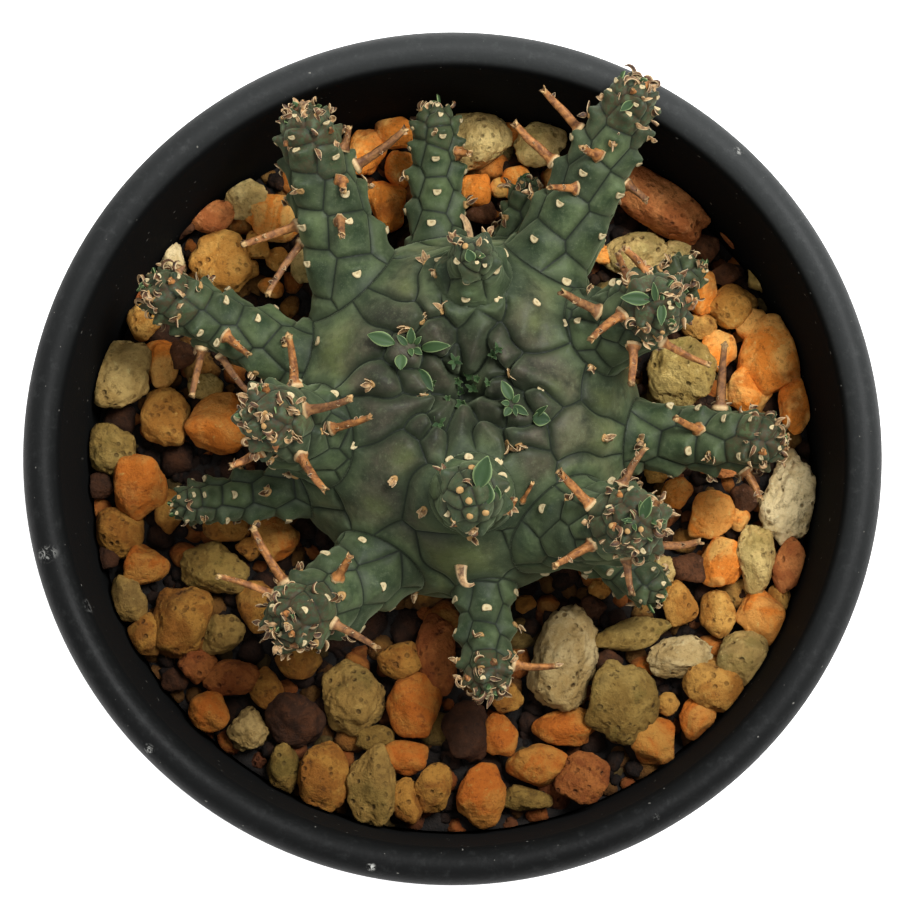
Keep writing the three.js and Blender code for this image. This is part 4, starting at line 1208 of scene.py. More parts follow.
def blade_form(base, reach, out, width, fold=0.3, curl=0.0, thick=0.12, tip=0.5, rows=9, twist=0):
    """A thin blade from base along reach: fold lifts its edges, curl rolls it up."""
    columns = 5
    length = float(np.linalg.norm(reach))
    ahead = unit(reach)
    side = unit(np.cross(ahead, out))
    up = np.cross(side, ahead)
    u = np.linspace(0, 1, rows)
    v = np.linspace(-1, 1, columns)
    shape = (np.sin(math.pi * np.clip(u, 0.02, 0.985) ** tip) ** 0.8) * 0.5 * width
    shape = np.maximum(shape, 0.04)
    bend = curl * u
    forward, rise = length * u, np.zeros(rows)
    if abs(curl) > 1e-3:
        forward = length * np.sin(bend) / curl
        rise = length * (1 - np.cos(bend)) / curl
    middle = base + forward[:, None] * ahead + rise[:, None] * up
    local_up = np.cos(bend)[:, None] * up - np.sin(bend)[:, None] * ahead
    wound = (twist * u)[:, None]
    across = np.cos(wound) * side + np.sin(wound) * local_up
    local_up = np.cos(wound) * local_up - np.sin(wound) * side
    lifted = (fold * shape[:, None] * np.abs(v))[..., None] * local_up[:, None]
    top = middle[:, None] + (shape[:, None] * v)[..., None] * across[:, None] + lifted
    taper = thick * (1 - 0.75 * np.abs(v)) * np.minimum(1, 0.35 + 3 * (1 - u))[:, None]
    low = top - taper[..., None] * local_up[:, None]
    count = rows * columns
    grid = np.arange(count).reshape(rows, columns)
    sheet = np.stack([grid[:-1, :-1], grid[:-1, 1:], grid[1:, 1:], grid[1:, :-1]], -1).reshape(-1, 4)
    rim = np.concatenate([grid[0, :-1], grid[:-1, -1], grid[-1, :0:-1], grid[:0:-1, 0]])
    following = np.roll(rim, -1)
    wall = np.stack([rim, rim + count, following + count, following], -1)
    points = np.concatenate([top.reshape(-1, 3), low.reshape(-1, 3)])
    edge = np.tile(np.broadcast_to(np.abs(v), (rows, columns)).ravel(), 2)
    edge = np.maximum(edge, np.tile(np.repeat(ease(u, 0.85, 1.0), columns), 2))
    return points, outward(points, [sheet, sheet[:, ::-1] + count, wall]), edge


def claw_form(foot, knee, end, radius, seed):
    """A withered horn: a bent cone, flat across, thick at its foot."""
    turn, t = circle(12), np.linspace(0, 1, 18)
    centre = bent(t, foot, knee, end)
    tangent = unit(np.gradient(centre, axis=0))
    side = unit(np.cross(tangent, UP))
    up = np.cross(side, tangent)
    ridge = 1 + 0.14 * np.sin(3 * turn + seed) + 0.1 * np.sin(5 * turn + 2 * seed)
    width = radius * mixed(1.15, 0.22, t[:, None] ** 0.8)
    across = (ridge * np.cos(turn))[None, :, None] * side[:, None]
    rise = 0.55 * (ridge * np.sin(turn))[None, :, None] * up[:, None]
    points, faces = capped(centre[:, None] + width[:, None] * (across + rise), foot, end)
    edge = np.concatenate([np.tile(0.5 + 0.5 * np.sin(3 * turn + seed), len(t)), [0.0, 1.0]])
    return points, faces, edge


# ---- Build the plant ---------------------------------------------------------------------------

SKIN = Skin()
skin_normal = vertex_normals(SKIN.points, SKIN.quads)
CROWN_CENTRE = np.array([-0.5, 3.6])  # the brown-grey of the body is strongest here
SKIN.values["crown"] = np.linalg.norm(SKIN.points[:, :2] - CROWN_CENTRE, axis=1)
NODES = ["stem_body"] + [arm.name for arm in ARM_LIST]


def add_skin():
    """One piece for each node; a face goes with its corner farthest from any border."""
    farthest = SKIN.values["border"][SKIN.quads].argmax(1)
    face_owner = SKIN.owner[SKIN.quads[np.arange(len(SKIN.quads)), farthest]]
    material = skin_material()
    for index, node in enumerate(NODES):
        faces = SKIN.quads[face_owner == index]
        near_arms = ARM_LIST if index == 0 else ARM_LIST[index - 1 : index]
        roots = np.array([arm.root for arm in near_arms])
        depth = 1.6 if index == 0 else 0.5
        points, faces, values = closed_part(SKIN.points, faces, SKIN.values, roots, depth)
        mesh = mesh_from(node + "_skin", points, faces, values)
        add_piece(mesh, material, [node])


add_skin()
OWNED = [np.nonzero(SKIN.owner == index)[0] for index in range(len(NODES))]


def on_skin(point, index):
    """The skin's vertex nearest to a point, and its outward direction."""
    mine = OWNED[index]
    nearest = mine[((SKIN.points[mine] - point) ** 2).sum(1).argmin()]
    return SKIN.points[nearest], skin_normal[nearest]


TOP_STEP, TOP_HALF = 0.3, 30.0
TOP_COUNT = int(2 * TOP_HALF / TOP_STEP) + 1
top_map = np.zeros((TOP_COUNT, TOP_COUNT))
top_place = np.clip(((SKIN.points[:, :2] + TOP_HALF) / TOP_STEP).astype(int), 0, TOP_COUNT - 1)
np.maximum.at(top_map, (top_place[:, 0], top_place[:, 1]), SKIN.points[:, 2])


def skin_top(x, y):
    """Height of the plant's skin over a place in plan."""
    return float(top_map[int((x + TOP_HALF) / TOP_STEP), int((y + TOP_HALF) / TOP_STEP)])


scars, stalks, bracts, leaves = Batch(), Batch(), Batch(), Batch()


def add_scar(point, out, forward, size, tone):
    form, faces, rim = scar_form(point, out, forward, size)
    scars.add(form, faces, rim=rim, tone=tone)


def add_stalk(index, place, reach, thickness=0.5):
    base, out = on_skin(place, index)
    seed = RNG.random() * 6
    form, faces, along = stalk_form(base - 0.05 * out, out, reach, thickness, seed)
    stalks.add(form, faces, along=along, tone=RNG.random())
    return base, out


def add_bract(base, reach, out, width, curl, fold=0.4, tone=None, **shape):
    form, faces, edge = blade_form(base, reach, out, width, fold, curl, tip=0.75, **shape)
    bracts.add(form, faces, edge=edge, tone=RNG.random() if tone is None else tone)


def add_leaf(base, reach, out, width, curl=0.3, fold=0.35, pale=1.0):
    form, faces, edge = blade_form(base, reach, out, width, fold, curl, 0.3, tip=0.9, rows=13)
    leaves.add(form, faces, edge=edge * pale, tone=RNG.random())


def add_bud(base, out, size):
    """A small round dormant bud, sunk into the skin by a third."""
    ball, faces = BALLS[2]
    across, over = frame_of(out)
    shape = ball * (1 + 0.16 * (noise(ball * 2.3 + RNG.random() * 50, 4)[:, None] - 0.5))
    form = shape[:, :1] * across + shape[:, 1:2] * over + 0.6 * shape[:, 2:] * out
    points = base + 0.5 * size * form + 0.12 * size * out
    scars.add(points, [faces], rim=0.4 + 0.6 * shape[:, 2], tone=0.9)


def mark_tubercle(index, seed):
    """What a tubercle of an arm carries: a scar, a bud or a few dry bracts."""
    arm = ARM_LIST[index - 1]
    forward, pitch, kind = seed.forward, seed.pitch, seed.kind
    point, normal = on_skin(seed.scar, index)
    face = unit(normal + 0.9 * arm.axis[2] ** 2 * UP)
    size = float(np.clip(0.2 * pitch + 0.22, 0.45, 0.95)) * RNG.uniform(0.88, 1.1)
    if kind in "wt":
        add_scar(point, face, forward, size, 0.3 if kind == "w" else 0.9)
    if kind == "n":
        add_bud(point, face, 1.25 * size)
    if kind == "t" and pitch > 1.4:
        for _ in range(int(RNG.integers(2, 5))):
            way = unit(0.7 * normal + forward * RNG.uniform(0.0, 1.2) + 0.6 * RNG.normal(size=3))
            start = point + 0.25 * size * unit(RNG.normal(size=3))
            long = RNG.uniform(0.7, 1.4)
            curl = RNG.uniform(-1.8, 2.4)
            add_bract(start, way * long, normal, RNG.uniform(0.45, 0.8), curl, thick=0.16)


for row in SKIN.scars:
    mark_tubercle(*row)

# Dried stalks: share of the arm, degrees from its upper side, and reach in x, y, z
STALKS = {
    "arm_north_west_long": [
        (0.73, 88, 5.5, 3.8, 1.2), (0.48, -90, -5.9, -2.3, 1), (0.38, -92, -3.6, -5.9, 0.8),
        (0.86, 72, 0.8, 2.2, 1), (0.49, 6, 0.3, -1.9, 1.6), (0.7, 27, 0.4, -1.2, 1.2),
    ],
    "arm_north_low": [(0.79, 60, 1.4, -0.4, 1.2)],
    "arm_north_east_long": [
        (0.74, -87, -4.1, 4, 1.5), (0.51, -87, -4.4, 4, 1), (0.48, -12, -2.8, -0.3, 2.6),
        (0.7, -5, -1.8, 0.4, 2), (0.59, 90, 2.2, -1.9, 0.5),
    ],
    "arm_east_north_upper": [
        (0.62, -20, -3.9, 1.7, 3), (0.9, 3, -3.5, -3, 2.6), (0.78, 56, -0.2, -4.4, 1.4),
        (0.85, 105, 5.1, -2.5, -0.6), (1, -95, -2.5, 2.4, 1.8), (0.8, -83, -1.2, 2.9, 0.8),
    ],
    "arm_east_long": [
        (0.69, -83, 0.4, 6.7, 2), (0.6, -7, -2.6, 0.9, 2.4), (0.91, 95, 1.5, -3.3, 0.4),
    ],
    "arm_east_south_upper": [
        (0.95, -70, 2.4, 3.9, 0.8), (0.77, -19, -3.4, 3.2, 2.8), (0.77, 47, -4.1, -2.5, 2.4),
        (1, 150, 4.9, 0.5, 0.4), (0.88, 107, 0.5, -3.8, 0.6),
    ],
    "arm_south": [(0.94, -85, 4.7, -0.2, 0.4)],
    "arm_south_west": [
        (0.92, 85, -3.4, 5.8, 1.2), (1, 110, -6, 2, 0.6), (0.91, -51, 4.7, -2.7, 1.2),
        (0.67, 11, 1.4, 2.2, 2.4),
    ],
    "arm_west_upper": [
        (0.67, 86, -0.5, 5.3, 1.4), (0.89, 15, 4.8, 0.8, 3), (0.53, 1, 4.2, 0.8, 2.8),
        (0.73, -54, 2.7, -4, 1.8), (0.95, -107, -3.2, -1.8, 0.2),
    ],
    "arm_north_west_low": [
        (0.56, -26, 2.5, -2.3, 1.4), (0.5, -95, 3.4, -4.4, -0.2), (0.63, -97, -1.1, -5.2, -0.6),
    ],
}
# Thin dark stalks beside the south crown arm: foot, reach and thickness
THIN_STALKS = [
    (7.3, -5.7, 78.4, 1.1, 1.9, 1.6, 0.24), (5.4, -6.8, 82.0, 1.0, 1.3, 0.8, 0.26),
    (0.2, -8.2, 83.6, 1.6, -0.7, 0.4, 0.22),
]
# Leaves at arm tips: base, reach in x, y, z, and width
ARM_LEAVES = {
    "crown_arm_south": [
        (2.6, -5.3, 88.7, 1.0, 3.3, 0.5, 2.0), (3.5, -6.8, 88.0, 0.2, 2.3, 0.5, 1.7),
        (4.9, -6.6, 86.8, -0.1, 1.6, 0.8, 0.9),
    ],
    "arm_east_north_upper": [
        (20.3, 14.3, 87.3, -3.2, 0.1, 0.7, 1.5), (20.8, 14.3, 87.3, -0.3, 2.0, 0.9, 0.7),
        (21.6, 13.9, 87.3, -0.1, -2.4, 0.4, 1.0), (22.1, 12.2, 86.3, 0.9, -0.1, 0.6, 0.7),
    ],
    "arm_east_south_upper": [
        (19.2, -8.5, 87.4, 0.9, 2.4, 1.0, 1.3), (18.7, -8.4, 87.5, -1.5, 0.0, 0.7, 0.5),
        (18.5, -8.2, 87.5, -0.2, 0.9, 0.8, 0.45), (18.5, -8.7, 87.5, 0.3, -0.9, 0.7, 0.45),
        (19.3, -7.6, 87.3, -0.1, 1.2, 0.9, 0.6),
    ],
    "crown_arm_north": [
        (2.0, 18.5, 86.7, -0.5, 1.3, 0.4, 1.2), (2.4, 18.9, 86.7, 0.9, -0.2, 0.5, 0.6),
    ],
    "arm_north_east_long": [(18.6, 35.8, 83.0, -1.4, -1.2, 0.8, 0.9)],
}
# Leaves of the two shoots and the growth centre: base and tip in plan, rise, width
CROWN_LEAVES = [
    (-6.0, 10.8, -8.8, 11.7, 0.5, 1.6), (-3.3, 10.5, -0.5, 10.5, 0.5, 1.25),
    (-5.3, 9.6, -5.4, 8.0, 0.7, 1.4), (-3.5, 8.3, -2.1, 6.0, 0.4, 1.25),
    (-4.3, 10.8, -4.3, 12.3, 0.9, 1.0), (-4.7, 10.6, -5.7, 11.6, 0.8, 0.8),
    (-4.0, 10.3, -3.2, 9.7, 0.9, 0.8), (-4.4, 10.3, -4.2, 9.5, 0.9, 0.7),
    (-3.9, 10.8, -3.3, 11.5, 0.9, 0.6), (6.2, 4.9, 5.1, 6.9, 0.7, 1.2),
    (6.3, 4.3, 7.8, 3.3, 0.8, 0.9), (6.0, 4.1, 5.4, 3.2, 0.8, 0.9),
    (6.3, 4.6, 6.9, 5.4, 0.9, 0.7), (5.9, 4.5, 5.1, 4.6, 0.8, 0.7),
    (6.4, 4.1, 6.6, 3.2, 0.9, 0.6), (8.3, 3.1, 10.1, 2.8, 0.5, 1.7),
    (8.5, 3.3, 9.6, 4.0, 0.8, 0.7),
]
# Tufts of tiny leaves at the growth centre: place in plan and the leaves' length
BUDS = [
    (0.2, 9.1, 1.0), (4.2, 9.8, 0.9), (4.7, 10.2, 0.8), (-1.4, 2.6, 1.0), (0.8, 6.5, 1.0),
    (1.8, 8.0, 1.1), (1.0, 4.8, 1.2), (2.1, 6.6, 1.0), (1.4, 7.1, 0.8), (0.5, 7.4, 0.8),
    (2.5, 7.5, 0.8), (1.6, 5.7, 0.9), (3.7, 6.9, 0.7), (-0.5, 5.3, 0.7), (-2.2, 6.9, 0.7),
]
# Withered horns on the body: foot, knee and end in plan, and radius
CLAWS = [(1.2, 24.4, 1.7, 27.0, -0.6, 26.2, 0.46), (0.9, -11.4, 0.8, -14.3, 2.3, -13.5, 0.58)]


def dress_stalk(index, place, reach):
    """A dried stalk with four dry bracts along it."""
    base, out = add_stalk(index, place, reach, RNG.uniform(0.44, 0.54))
    for _ in range(4):
        at = RNG.uniform(0.1, 0.95)
        spot = base + reach * at + out * 0.12 * np.linalg.norm(reach) * 2 * at * (1 - at)
        way = unit(RNG.normal(size=3)) * 0.8 + unit(reach) * 0.4
        add_bract(spot, way * RNG.uniform(0.4, 1.0), UP, 0.45, RNG.uniform(-1.5, 1.5))


def tip_bract(index, arm, turn, few):
    """A curled dry bract at an arm's tip."""
    rise = arm.length + arm.turn_length * RNG.uniform(-0.25, 0.95)
    place, out, forward = arm.surface(rise, 360 * (turn + 0.1 * RNG.random()))
    base, out = on_skin(place, index)
    way = unit(0.6 * out + forward * RNG.uniform(-0.9, 0.9) + 0.8 * RNG.normal(size=3))
    if RNG.random() < 0.6:
        long, width = RNG.uniform(1.4, 2.7), RNG.uniform(0.34, 0.6)
        curl = RNG.choice([-1, 1]) * RNG.uniform(2.6, 5.2)
    else:
        long, width = RNG.uniform(0.9, 1.8), RNG.uniform(0.5, 0.9)
        curl = RNG.uniform(-2.4, 2.4)
    long *= 0.7 if few else 1.0
    twist = RNG.uniform(-2.5, 2.5)
    start = base - 0.1 * out
    add_bract(start, way * long, out, width, curl, 0.7, thick=0.16, twist=twist, rows=13)


def dress_arm(index, arm):
    """Stalks along an arm, and bracts, stubs and tiny leaves at its tip."""
    for share, degrees, *reach in STALKS.get(arm.name, []):
        place = arm.surface(share * arm.length, degrees)[0]
        dress_stalk(index, place, np.array(reach, float))
    few = arm.name in BARE_TIPS
    crown = arm.name.startswith("crown")
    count = 2 if crown else 6 if few else int(12 + 6 * arm.radii[1])
    for k in range(count):
        tip_bract(index, arm, k * 0.382, few)
    for k in range(0 if few else 3):
        rise = arm.length + arm.turn_length * RNG.uniform(0.0, 0.8)
        place, out, _ = arm.surface(rise, 360 * RNG.random())
        reach = unit(out + 0.4 * RNG.normal(size=3)) * RNG.uniform(0.6, 1.1)
        add_stalk(index, place, reach, RNG.uniform(0.18, 0.26))
    for k in range(0 if crown else 4):
        rise = arm.length + arm.turn_length * RNG.uniform(0.5, 1)
        place, out, forward = arm.surface(rise, 97 * k)
        base, out = on_skin(place, index)
        way = unit(out + 0.5 * RNG.normal(size=3)) * RNG.uniform(0.7, 1.2)
        add_leaf(base - 0.2 * out, way, forward, 0.6)


def lying_leaf(ax, ay, bx, by, rise, width):
    """A leaf from one place in plan to another, clear of the skin below it."""
    foot, end = skin_top(ax, ay), skin_top(bx, by)
    half = skin_top((ax + bx) / 2, (ay + by) / 2)
    lift = max(end + 0.25, 2 * half - foot + 0.3, foot + 0.3)
    reach = np.array([bx - ax, by - ay, lift - foot + 0.3 * rise])
    add_leaf(np.array([ax, ay, foot]), reach, UP, 0.95 * width, curl=-0.25, fold=0.5)


def leaf_tuft(x, y, long):
    foot = np.array([x, y, skin_top(x, y) - 0.1])
    start = RNG.random() * 2
    for k in range(5):
        turn = start + 1.26 * k + 0.7 * RNG.random()
        side = np.array([math.cos(turn), math.sin(turn), 0])
        way = unit(RNG.uniform(0.5, 1.2) * UP + side) * long * RNG.uniform(0.6, 1.15)
        add_leaf(foot, way, UP, 0.42 * long, curl=RNG.uniform(-0.4, 0.7), fold=0.3, pale=0.85)


def mark_body(x, y, size, tone):
    """A scar on the body; returns (base, outward, away from the growth point)."""
    base, out = on_skin(on_body(x, y), 0)
    away = unit(np.array([x, y, 0]) - np.array([*GROWTH_POINT, 0]))
    add_scar(base, out, away, size, tone)
    return base, out, away


def body_bracts(x, y):
    """A tan scar of the body with three short bracts."""
    base, out, away = mark_body(x, y, 0.8, 0.9)
    side = unit(np.cross(out, away))
    for turn in (-0.9, -0.2, 0.7):
        turn += RNG.uniform(-0.3, 0.3)
        way = unit(away * math.cos(turn) + side * math.sin(turn) + 0.3 * out)
        long = RNG.uniform(0.8, 1.5)
        curl = RNG.uniform(-0.9, 1.6)
        add_bract(base - 0.05 * out, way * long, out, 0.7, curl, tone=0.25, thick=0.18)


def add_claw(ax, ay, kx, ky, ex, ey, radius):
    base, out = on_skin(on_body(ax, ay), 0)
    knee = np.array([kx, ky, base[2] + 0.8])
    end = np.array([ex, ey, base[2] + 0.5])
    form, faces, edge = claw_form(base - 0.3 * out, knee, end, radius, ax)
    bracts.add(form, faces, edge=edge, tone=0.1)


for index, arm in enumerate(ARM_LIST, 1):
    dress_arm(index, arm)
for x, y, z, *reach, thickness in THIN_STALKS:
    index = NODES.index("crown_arm_south") if y < -6.5 else 0
    add_stalk(index, np.array([x, y, z]), np.array(reach), thickness)
for name, rows in ARM_LEAVES.items():
    for x, y, z, *reach, width in rows:
        base, out = on_skin(np.array([x, y, z]), NODES.index(name))
        add_leaf(base - 0.2 * out, np.array(reach), UP, width, curl=0.2, fold=0.55)
for row in CROWN_LEAVES:
    lying_leaf(*row)
for row in BUDS:
    leaf_tuft(*row)
for x, y in BODY_SCARS:
    mark_body(x, y, 0.95, 0.2)
for x, y in BODY_BRACTS:
    body_bracts(x, y)
for row in CLAWS:
    add_claw(*row)

add_piece(scars.mesh("leaf_scars"), scar_material())
add_piece(stalks.mesh("dried_flower_stalks"), stalk_material())
add_piece(bracts.mesh("dry_bracts"), bract_material())
add_piece(leaves.mesh("young_leaves"), leaf_material())

# ---- Stones and mix ------------------------------------------------------------------------------

# plan centre, width along x and along y, and tone of each stone that shows
STONES = [
    (-34.9, 8.2, 6.6, 6.9, "c"), (-30.4, 9.5, 3.5, 4.9, "o"), (-30, 3.9, 4.9, 6, "y"),
    (-24.2, 3.2, 7, 6.3, "o"), (-35.7, 0.4, 5.3, 5.1, "g"), (-25.4, 25.1, 4.9, 3.6, "r"),
    (-21.6, 27, 4.7, 4.3, "c"), (-18.7, 24.9, 6.3, 4.7, "o"), (-24.2, 20.1, 6.3, 6.3, "y"),
    (-29.3, 20.3, 2.8, 4.2, "w"), (-32.5, 17.6, 3.5, 2.4, "r"), (-32.3, 13.8, 3.6, 3.8, "y"),
    (-15.6, 20.1, 2.4, 4.2, "c"), (-5.9, 34.4, 4, 4, "o"), (-9.1, 32, 4.5, 4.7, "o"),
    (-5.5, 30.1, 2.8, 3.8, "o"), (-6.9, 26.2, 4.3, 5.3, "o"), (-25.8, 7.1, 3.6, 2.6, "g"),
    (-28.3, 10.4, 3, 3, "b"), (3, 33.4, 6.7, 6.6, "c"), (9.5, 32.8, 5.3, 4.9, "c"),
    (2.7, 27.9, 3, 3.4, "o"), (6.7, 28.7, 3.2, 3.4, "o"), (3.2, 25.6, 3.2, 2.4, "b"),
    (22, 26.5, 9.4, 6.3, "r"), (19.5, 21.1, 6.8, 4.5, "c"), (24, 21.4, 3.2, 2.8, "c"),
    (26.9, 21.7, 2.9, 2.9, "b"), (29, 19, 3, 2.4, "b"), (26.4, 17, 3.6, 4.7, "o"),
    (29.6, 15.6, 5.5, 4.7, "y"), (33.7, 10.4, 6.6, 8, "o"), (31.8, 13.7, 3.8, 3.2, "o"),
    (36.6, 5.2, 4, 6, "o"), (31.1, 6.5, 5.3, 4.9, "o"), (28.3, 10.9, 3.6, 4.3, "o"),
    (24.3, 8.3, 7, 7.2, "g"), (26.1, 13.5, 3.8, 2.8, "y"), (35.7, -4.5, 6.5, 9.4, "w"),
    (31, -4.8, 3, 3.2, "b"), (27.4, -6.4, 4.7, 4.9, "o"), (30.2, -6.8, 2.4, 2.6, "o"),
    (32, -11.2, 4, 7, "c"), (35.5, -11.7, 3.5, 5.7, "r"), (28.6, -11.4, 4.9, 5, "o"),
    (24.1, -15.7, 3.6, 4.7, "y"), (28, -16.8, 3.6, 4.9, "y"), (32.4, -17.1, 4.9, 5.8, "o"),
    (34.4, -15.1, 2.5, 2.9, "y"), (30.5, -21.3, 5.3, 6, "c"), (24, -21.3, 6.6, 4.3, "w"),
    (27.5, -24.1, 6.2, 5.7, "y"), (25.8, -27.6, 3.6, 4.5, "o"), (22.6, -26.2, 2.6, 2.4, "y"),
    (21, -30, 4.6, 4.7, "o"), (19.2, -18.9, 7.4, 3.5, "g"), (12, -21.3, 7, 10, "w"),
    (17.9, -26.1, 7.4, 8.4, "g"), (11.9, -28.5, 6.5, 3.9, "o"), (5.2, -29.3, 3.5, 4.5, "o"),
    (5.8, -25.5, 3.5, 3.2, "y"), (9.1, -32.5, 6.3, 4.2, "o"), (13.7, -33.9, 5.5, 5.3, "r"),
    (8, -35.9, 5, 2.6, "g"), (3.2, -35.7, 4.9, 6.5, "o"), (1.6, -29, 4.9, 6, "b"),
    (25, -12, 3.9, 3, "b"), (22.3, -12.3, 2.4, 3, "c"), (23.8, -4.2, 3.2, 3.2, "o"),
    (16.5, -21.7, 3, 2.6, "b"), (-32.5, -3.6, 5.3, 6.6, "o"), (-29.5, -6, 3, 4.5, "y"),
    (-34.7, -8.4, 4.8, 5.3, "y"), (-31.8, -11.7, 4.6, 4.3, "o"), (-24.7, -12, 6.9, 5.2, "g"),
    (-33.7, -15.2, 3.8, 4.7, "c"), (-28.3, -17.8, 6.7, 7.2, "y"), (-23.8, -19, 4.5, 4, "c"),
    (-26.5, -22.1, 3.9, 3.9, "r"), (-22.8, -23.4, 6, 3.6, "r"), (-19.2, -24.5, 3.5, 4.2, "y"),
    (-25.2, -27, 4.1, 4.1, "o"), (-21.2, -28.7, 4.2, 4.5, "w"), (-16.2, -27.9, 6, 5.6, "b"),
    (-10.1, -25.5, 6.3, 7.6, "c"), (-17.5, -32.8, 3.3, 5.3, "g"), (-13.3, -34, 5.3, 7.5, "y"),
    (-8.2, -34.9, 4.9, 8.6, "c"), (-4.9, -31.8, 4.9, 3.5, "o"), (-4.6, -36.3, 3.2, 4.7, "y"),
    (-3.8, -26.3, 5.5, 6.6, "o"), (-1.6, -21, 4.2, 8.2, "r"), (-1.8, -34.9, 3.8, 5, "y"),
    (-7.9, -29.7, 3.9, 2.6, "g"), (-5.2, -21.7, 4.7, 3.8, "y"), (-32.1, -18.9, 3.5, 4.3, "y"),
    (-18.4, -8.9, 4.9, 4.6, "o"), (-23.5, -7.9, 4.7, 2.6, "y"), (-20.5, -16.1, 3.8, 5.3, "y"),
    (-15.9, -21.7, 4.7, 3.7, "y"), (-36.7, -3.3, 2.8, 2.7, "b"), (-28.5, 24.6, 3.2, 2.8, "b"),
    (-19, 17.6, 2.6, 2.1, "o"), (-20.4, 22.1, 2.6, 2.8, "y"), (-18.3, 20.6, 2.4, 2.4, "y"),
    (-21.5, 19.6, 2.4, 2.1, "y"), (5.5, 28.2, 2.6, 2.1, "y"), (32.8, 18.6, 2.6, 2.4, "g"),
    (16.1, 21, 2.6, 1.9, "o"), (21.7, -2, 2.6, 2.1, "y"), (28.4, -1.5, 4.1, 1.9, "r"),
    (7.9, -15.8, 2.1, 1.9, "y"), (15.7, -14.2, 2.4, 1.9, "y"), (-28.9, -23.6, 2.8, 2.4, "b"),
    (-21.2, -10, 2.6, 2.4, "y"), (-36.1, -10.9, 2.6, 2.6, "b"), (26.7, 26.6, 2.6, 2.4, "b"),
    (30.5, 23.4, 2.4, 1.9, "r"), (14.7, -16.1, 3.2, 2.4, "b"), (-13.2, 25, 2.1, 2.6, "y"),
]
# The places above are read on the mix itself; the stones' tops stand higher and so lie
# a little outwards and towards the back
STONE_SPREAD, STONE_SHIFT = (1.023, 1.029), (-0.2, 1.9)
# Long stones that lie askew: length, breadth and turn in degrees, by place in the table
SKEW = {24: (10.8, 5.4, -30), 55: (8.2, 3.3, 14), 38: (9.8, 5.8, 78), 56: (10.6, 6.4, 76)}
# Layers of a stone's relief: height, fineness and a number that sets each stone's apart
STONE_RELIEF = [(0.09, 4.5, 89), (0.04, 11, 83), (0.02, 24, 79)]


def stone_form(x, y, wx, wy, centre_z, height, turn, rough, level=None):
    """A worn, many-sided stone: a soft meeting of planes with some noise on it."""
    if level is None:
        level = 5 if min(wx, wy) > 4.2 else 4
    ball, faces = BALLS[level]
    planes = unit(RNG.normal(size=(20, 3)))
    offset = RNG.uniform(0.8, 1.02, 20)
    sharp = RNG.uniform(6.5, 11)
    lean = np.maximum(ball @ planes.T, 0) / offset
    radius = ((lean**sharp).sum(1) + 0.02) ** (-1 / sharp)
    radius = np.minimum(radius, 1.13)
    seed = int(RNG.integers(1, 1 << 20))
    radius = radius * (1 + 0.22 * (noise(ball * 1.9 + seed % 97, seed) - 0.5))
    for layer, (relief, fineness, prime) in enumerate(STONE_RELIEF, 1):
        grain = noise(ball * fineness + seed % prime, seed + layer) - 0.5
        radius = radius + relief * rough * grain
    form = ball * radius[:, None]
    low, high = form.min(0), form.max(0)
    form = (form - (low + high) / 2) / ((high - low) / 2)
    form = form * np.array([wx, wy, height]) / 2
    c, s = math.cos(turn), math.sin(turn)
    across, along = form[:, 0] * c - form[:, 1] * s, form[:, 0] * s + form[:, 1] * c
    return np.column_stack([across, along, form[:, 2]]) + np.array([x, y, centre_z]), faces


def wall_inside(level):
    return MOUTH_RADIUS - WALL_TAPER * (POT_HEIGHT - LIP_DROP - level)


def settle(points):
    """Keeps stones inside the wall and under the plant."""
    reach = np.hypot(points[:, 0], points[:, 1])
    limit = wall_inside(points[:, 2]) - GAP
    squeeze = np.minimum(1, limit / np.maximum(reach, 1e-6))
    points[:, :2] *= squeeze[:, None]
    for _ in range(3):
        depth = plant_field(points)[0] - 0.5
        inside = depth < 0
        points[inside, 2] += 1.15 * depth[inside]
    return points


# Colours of the stones: name, light, middle and dark tone, and the material's other values
TONES = {
    "o": ("orange", (255, 197, 108), (247, 146, 52), (162, 82, 28), dict(coarse=0.7)),
    "y": ("ochre", (242, 188, 98), (200, 137, 58), (108, 69, 29), dict(coarse=0.8, pits=0.5)),
    "c": ("cream", (238, 208, 136), (206, 173, 105), (126, 100, 55), dict(pits=0.7, green=0.35)),
    "w": ("pumice", (254, 234, 184), (226, 199, 142), (134, 108, 64), dict(pits=0.9, green=0.15)),
    "b": ("brown", (112, 70, 42), (78, 48, 26), (40, 24, 13), dict(coarse=1.2)),
    "r": ("terracotta", (232, 153, 87), (190, 110, 57), (112, 61, 31), dict(coarse=0.8, pits=0.5)),
    "g": ("olive", (214, 186, 113), (170, 141, 75), (96, 77, 38), dict(pits=0.6, green=0.45)),
}
ROUGHNESS = {"w": 1.9, "c": 1.4, "g": 1.3, "o": 0.6}
stone_batches = {tone: Batch() for tone in TONES}
taken = []
for place, (x, y, wx, wy, tone) in enumerate(STONES):
    x, y = x * STONE_SPREAD[0] + STONE_SHIFT[0], y * STONE_SPREAD[1] + STONE_SHIFT[1]
    height = 0.82 * min(wx, wy) * RNG.uniform(0.9, 1.2)
    centre_z = BED_LEVEL + height * 0.15 + RNG.random()
    turn = 0.0
    taken.append((x, y, (wx + wy) / 2))
    if place in SKEW:
        wx, wy, degrees = SKEW[place]
        turn = math.radians(degrees)
    rough = ROUGHNESS.get(tone, 0.9)
    form, faces = stone_form(x, y, wx * 1.1, wy * 1.1, centre_z, height, turn, rough)
    stone_batches[tone].add(settle(form), [faces], tone=RNG.random())

FILL_TONES = "obyrbbgbyobbyo"
FILL_REACH, CRUMB_REACH, CRUMB_COUNT = 38.6, 37.8, 900
GOLDEN_SHARE = 3 - math.sqrt(5)  # of a half turn, from each place on a spiral to the next


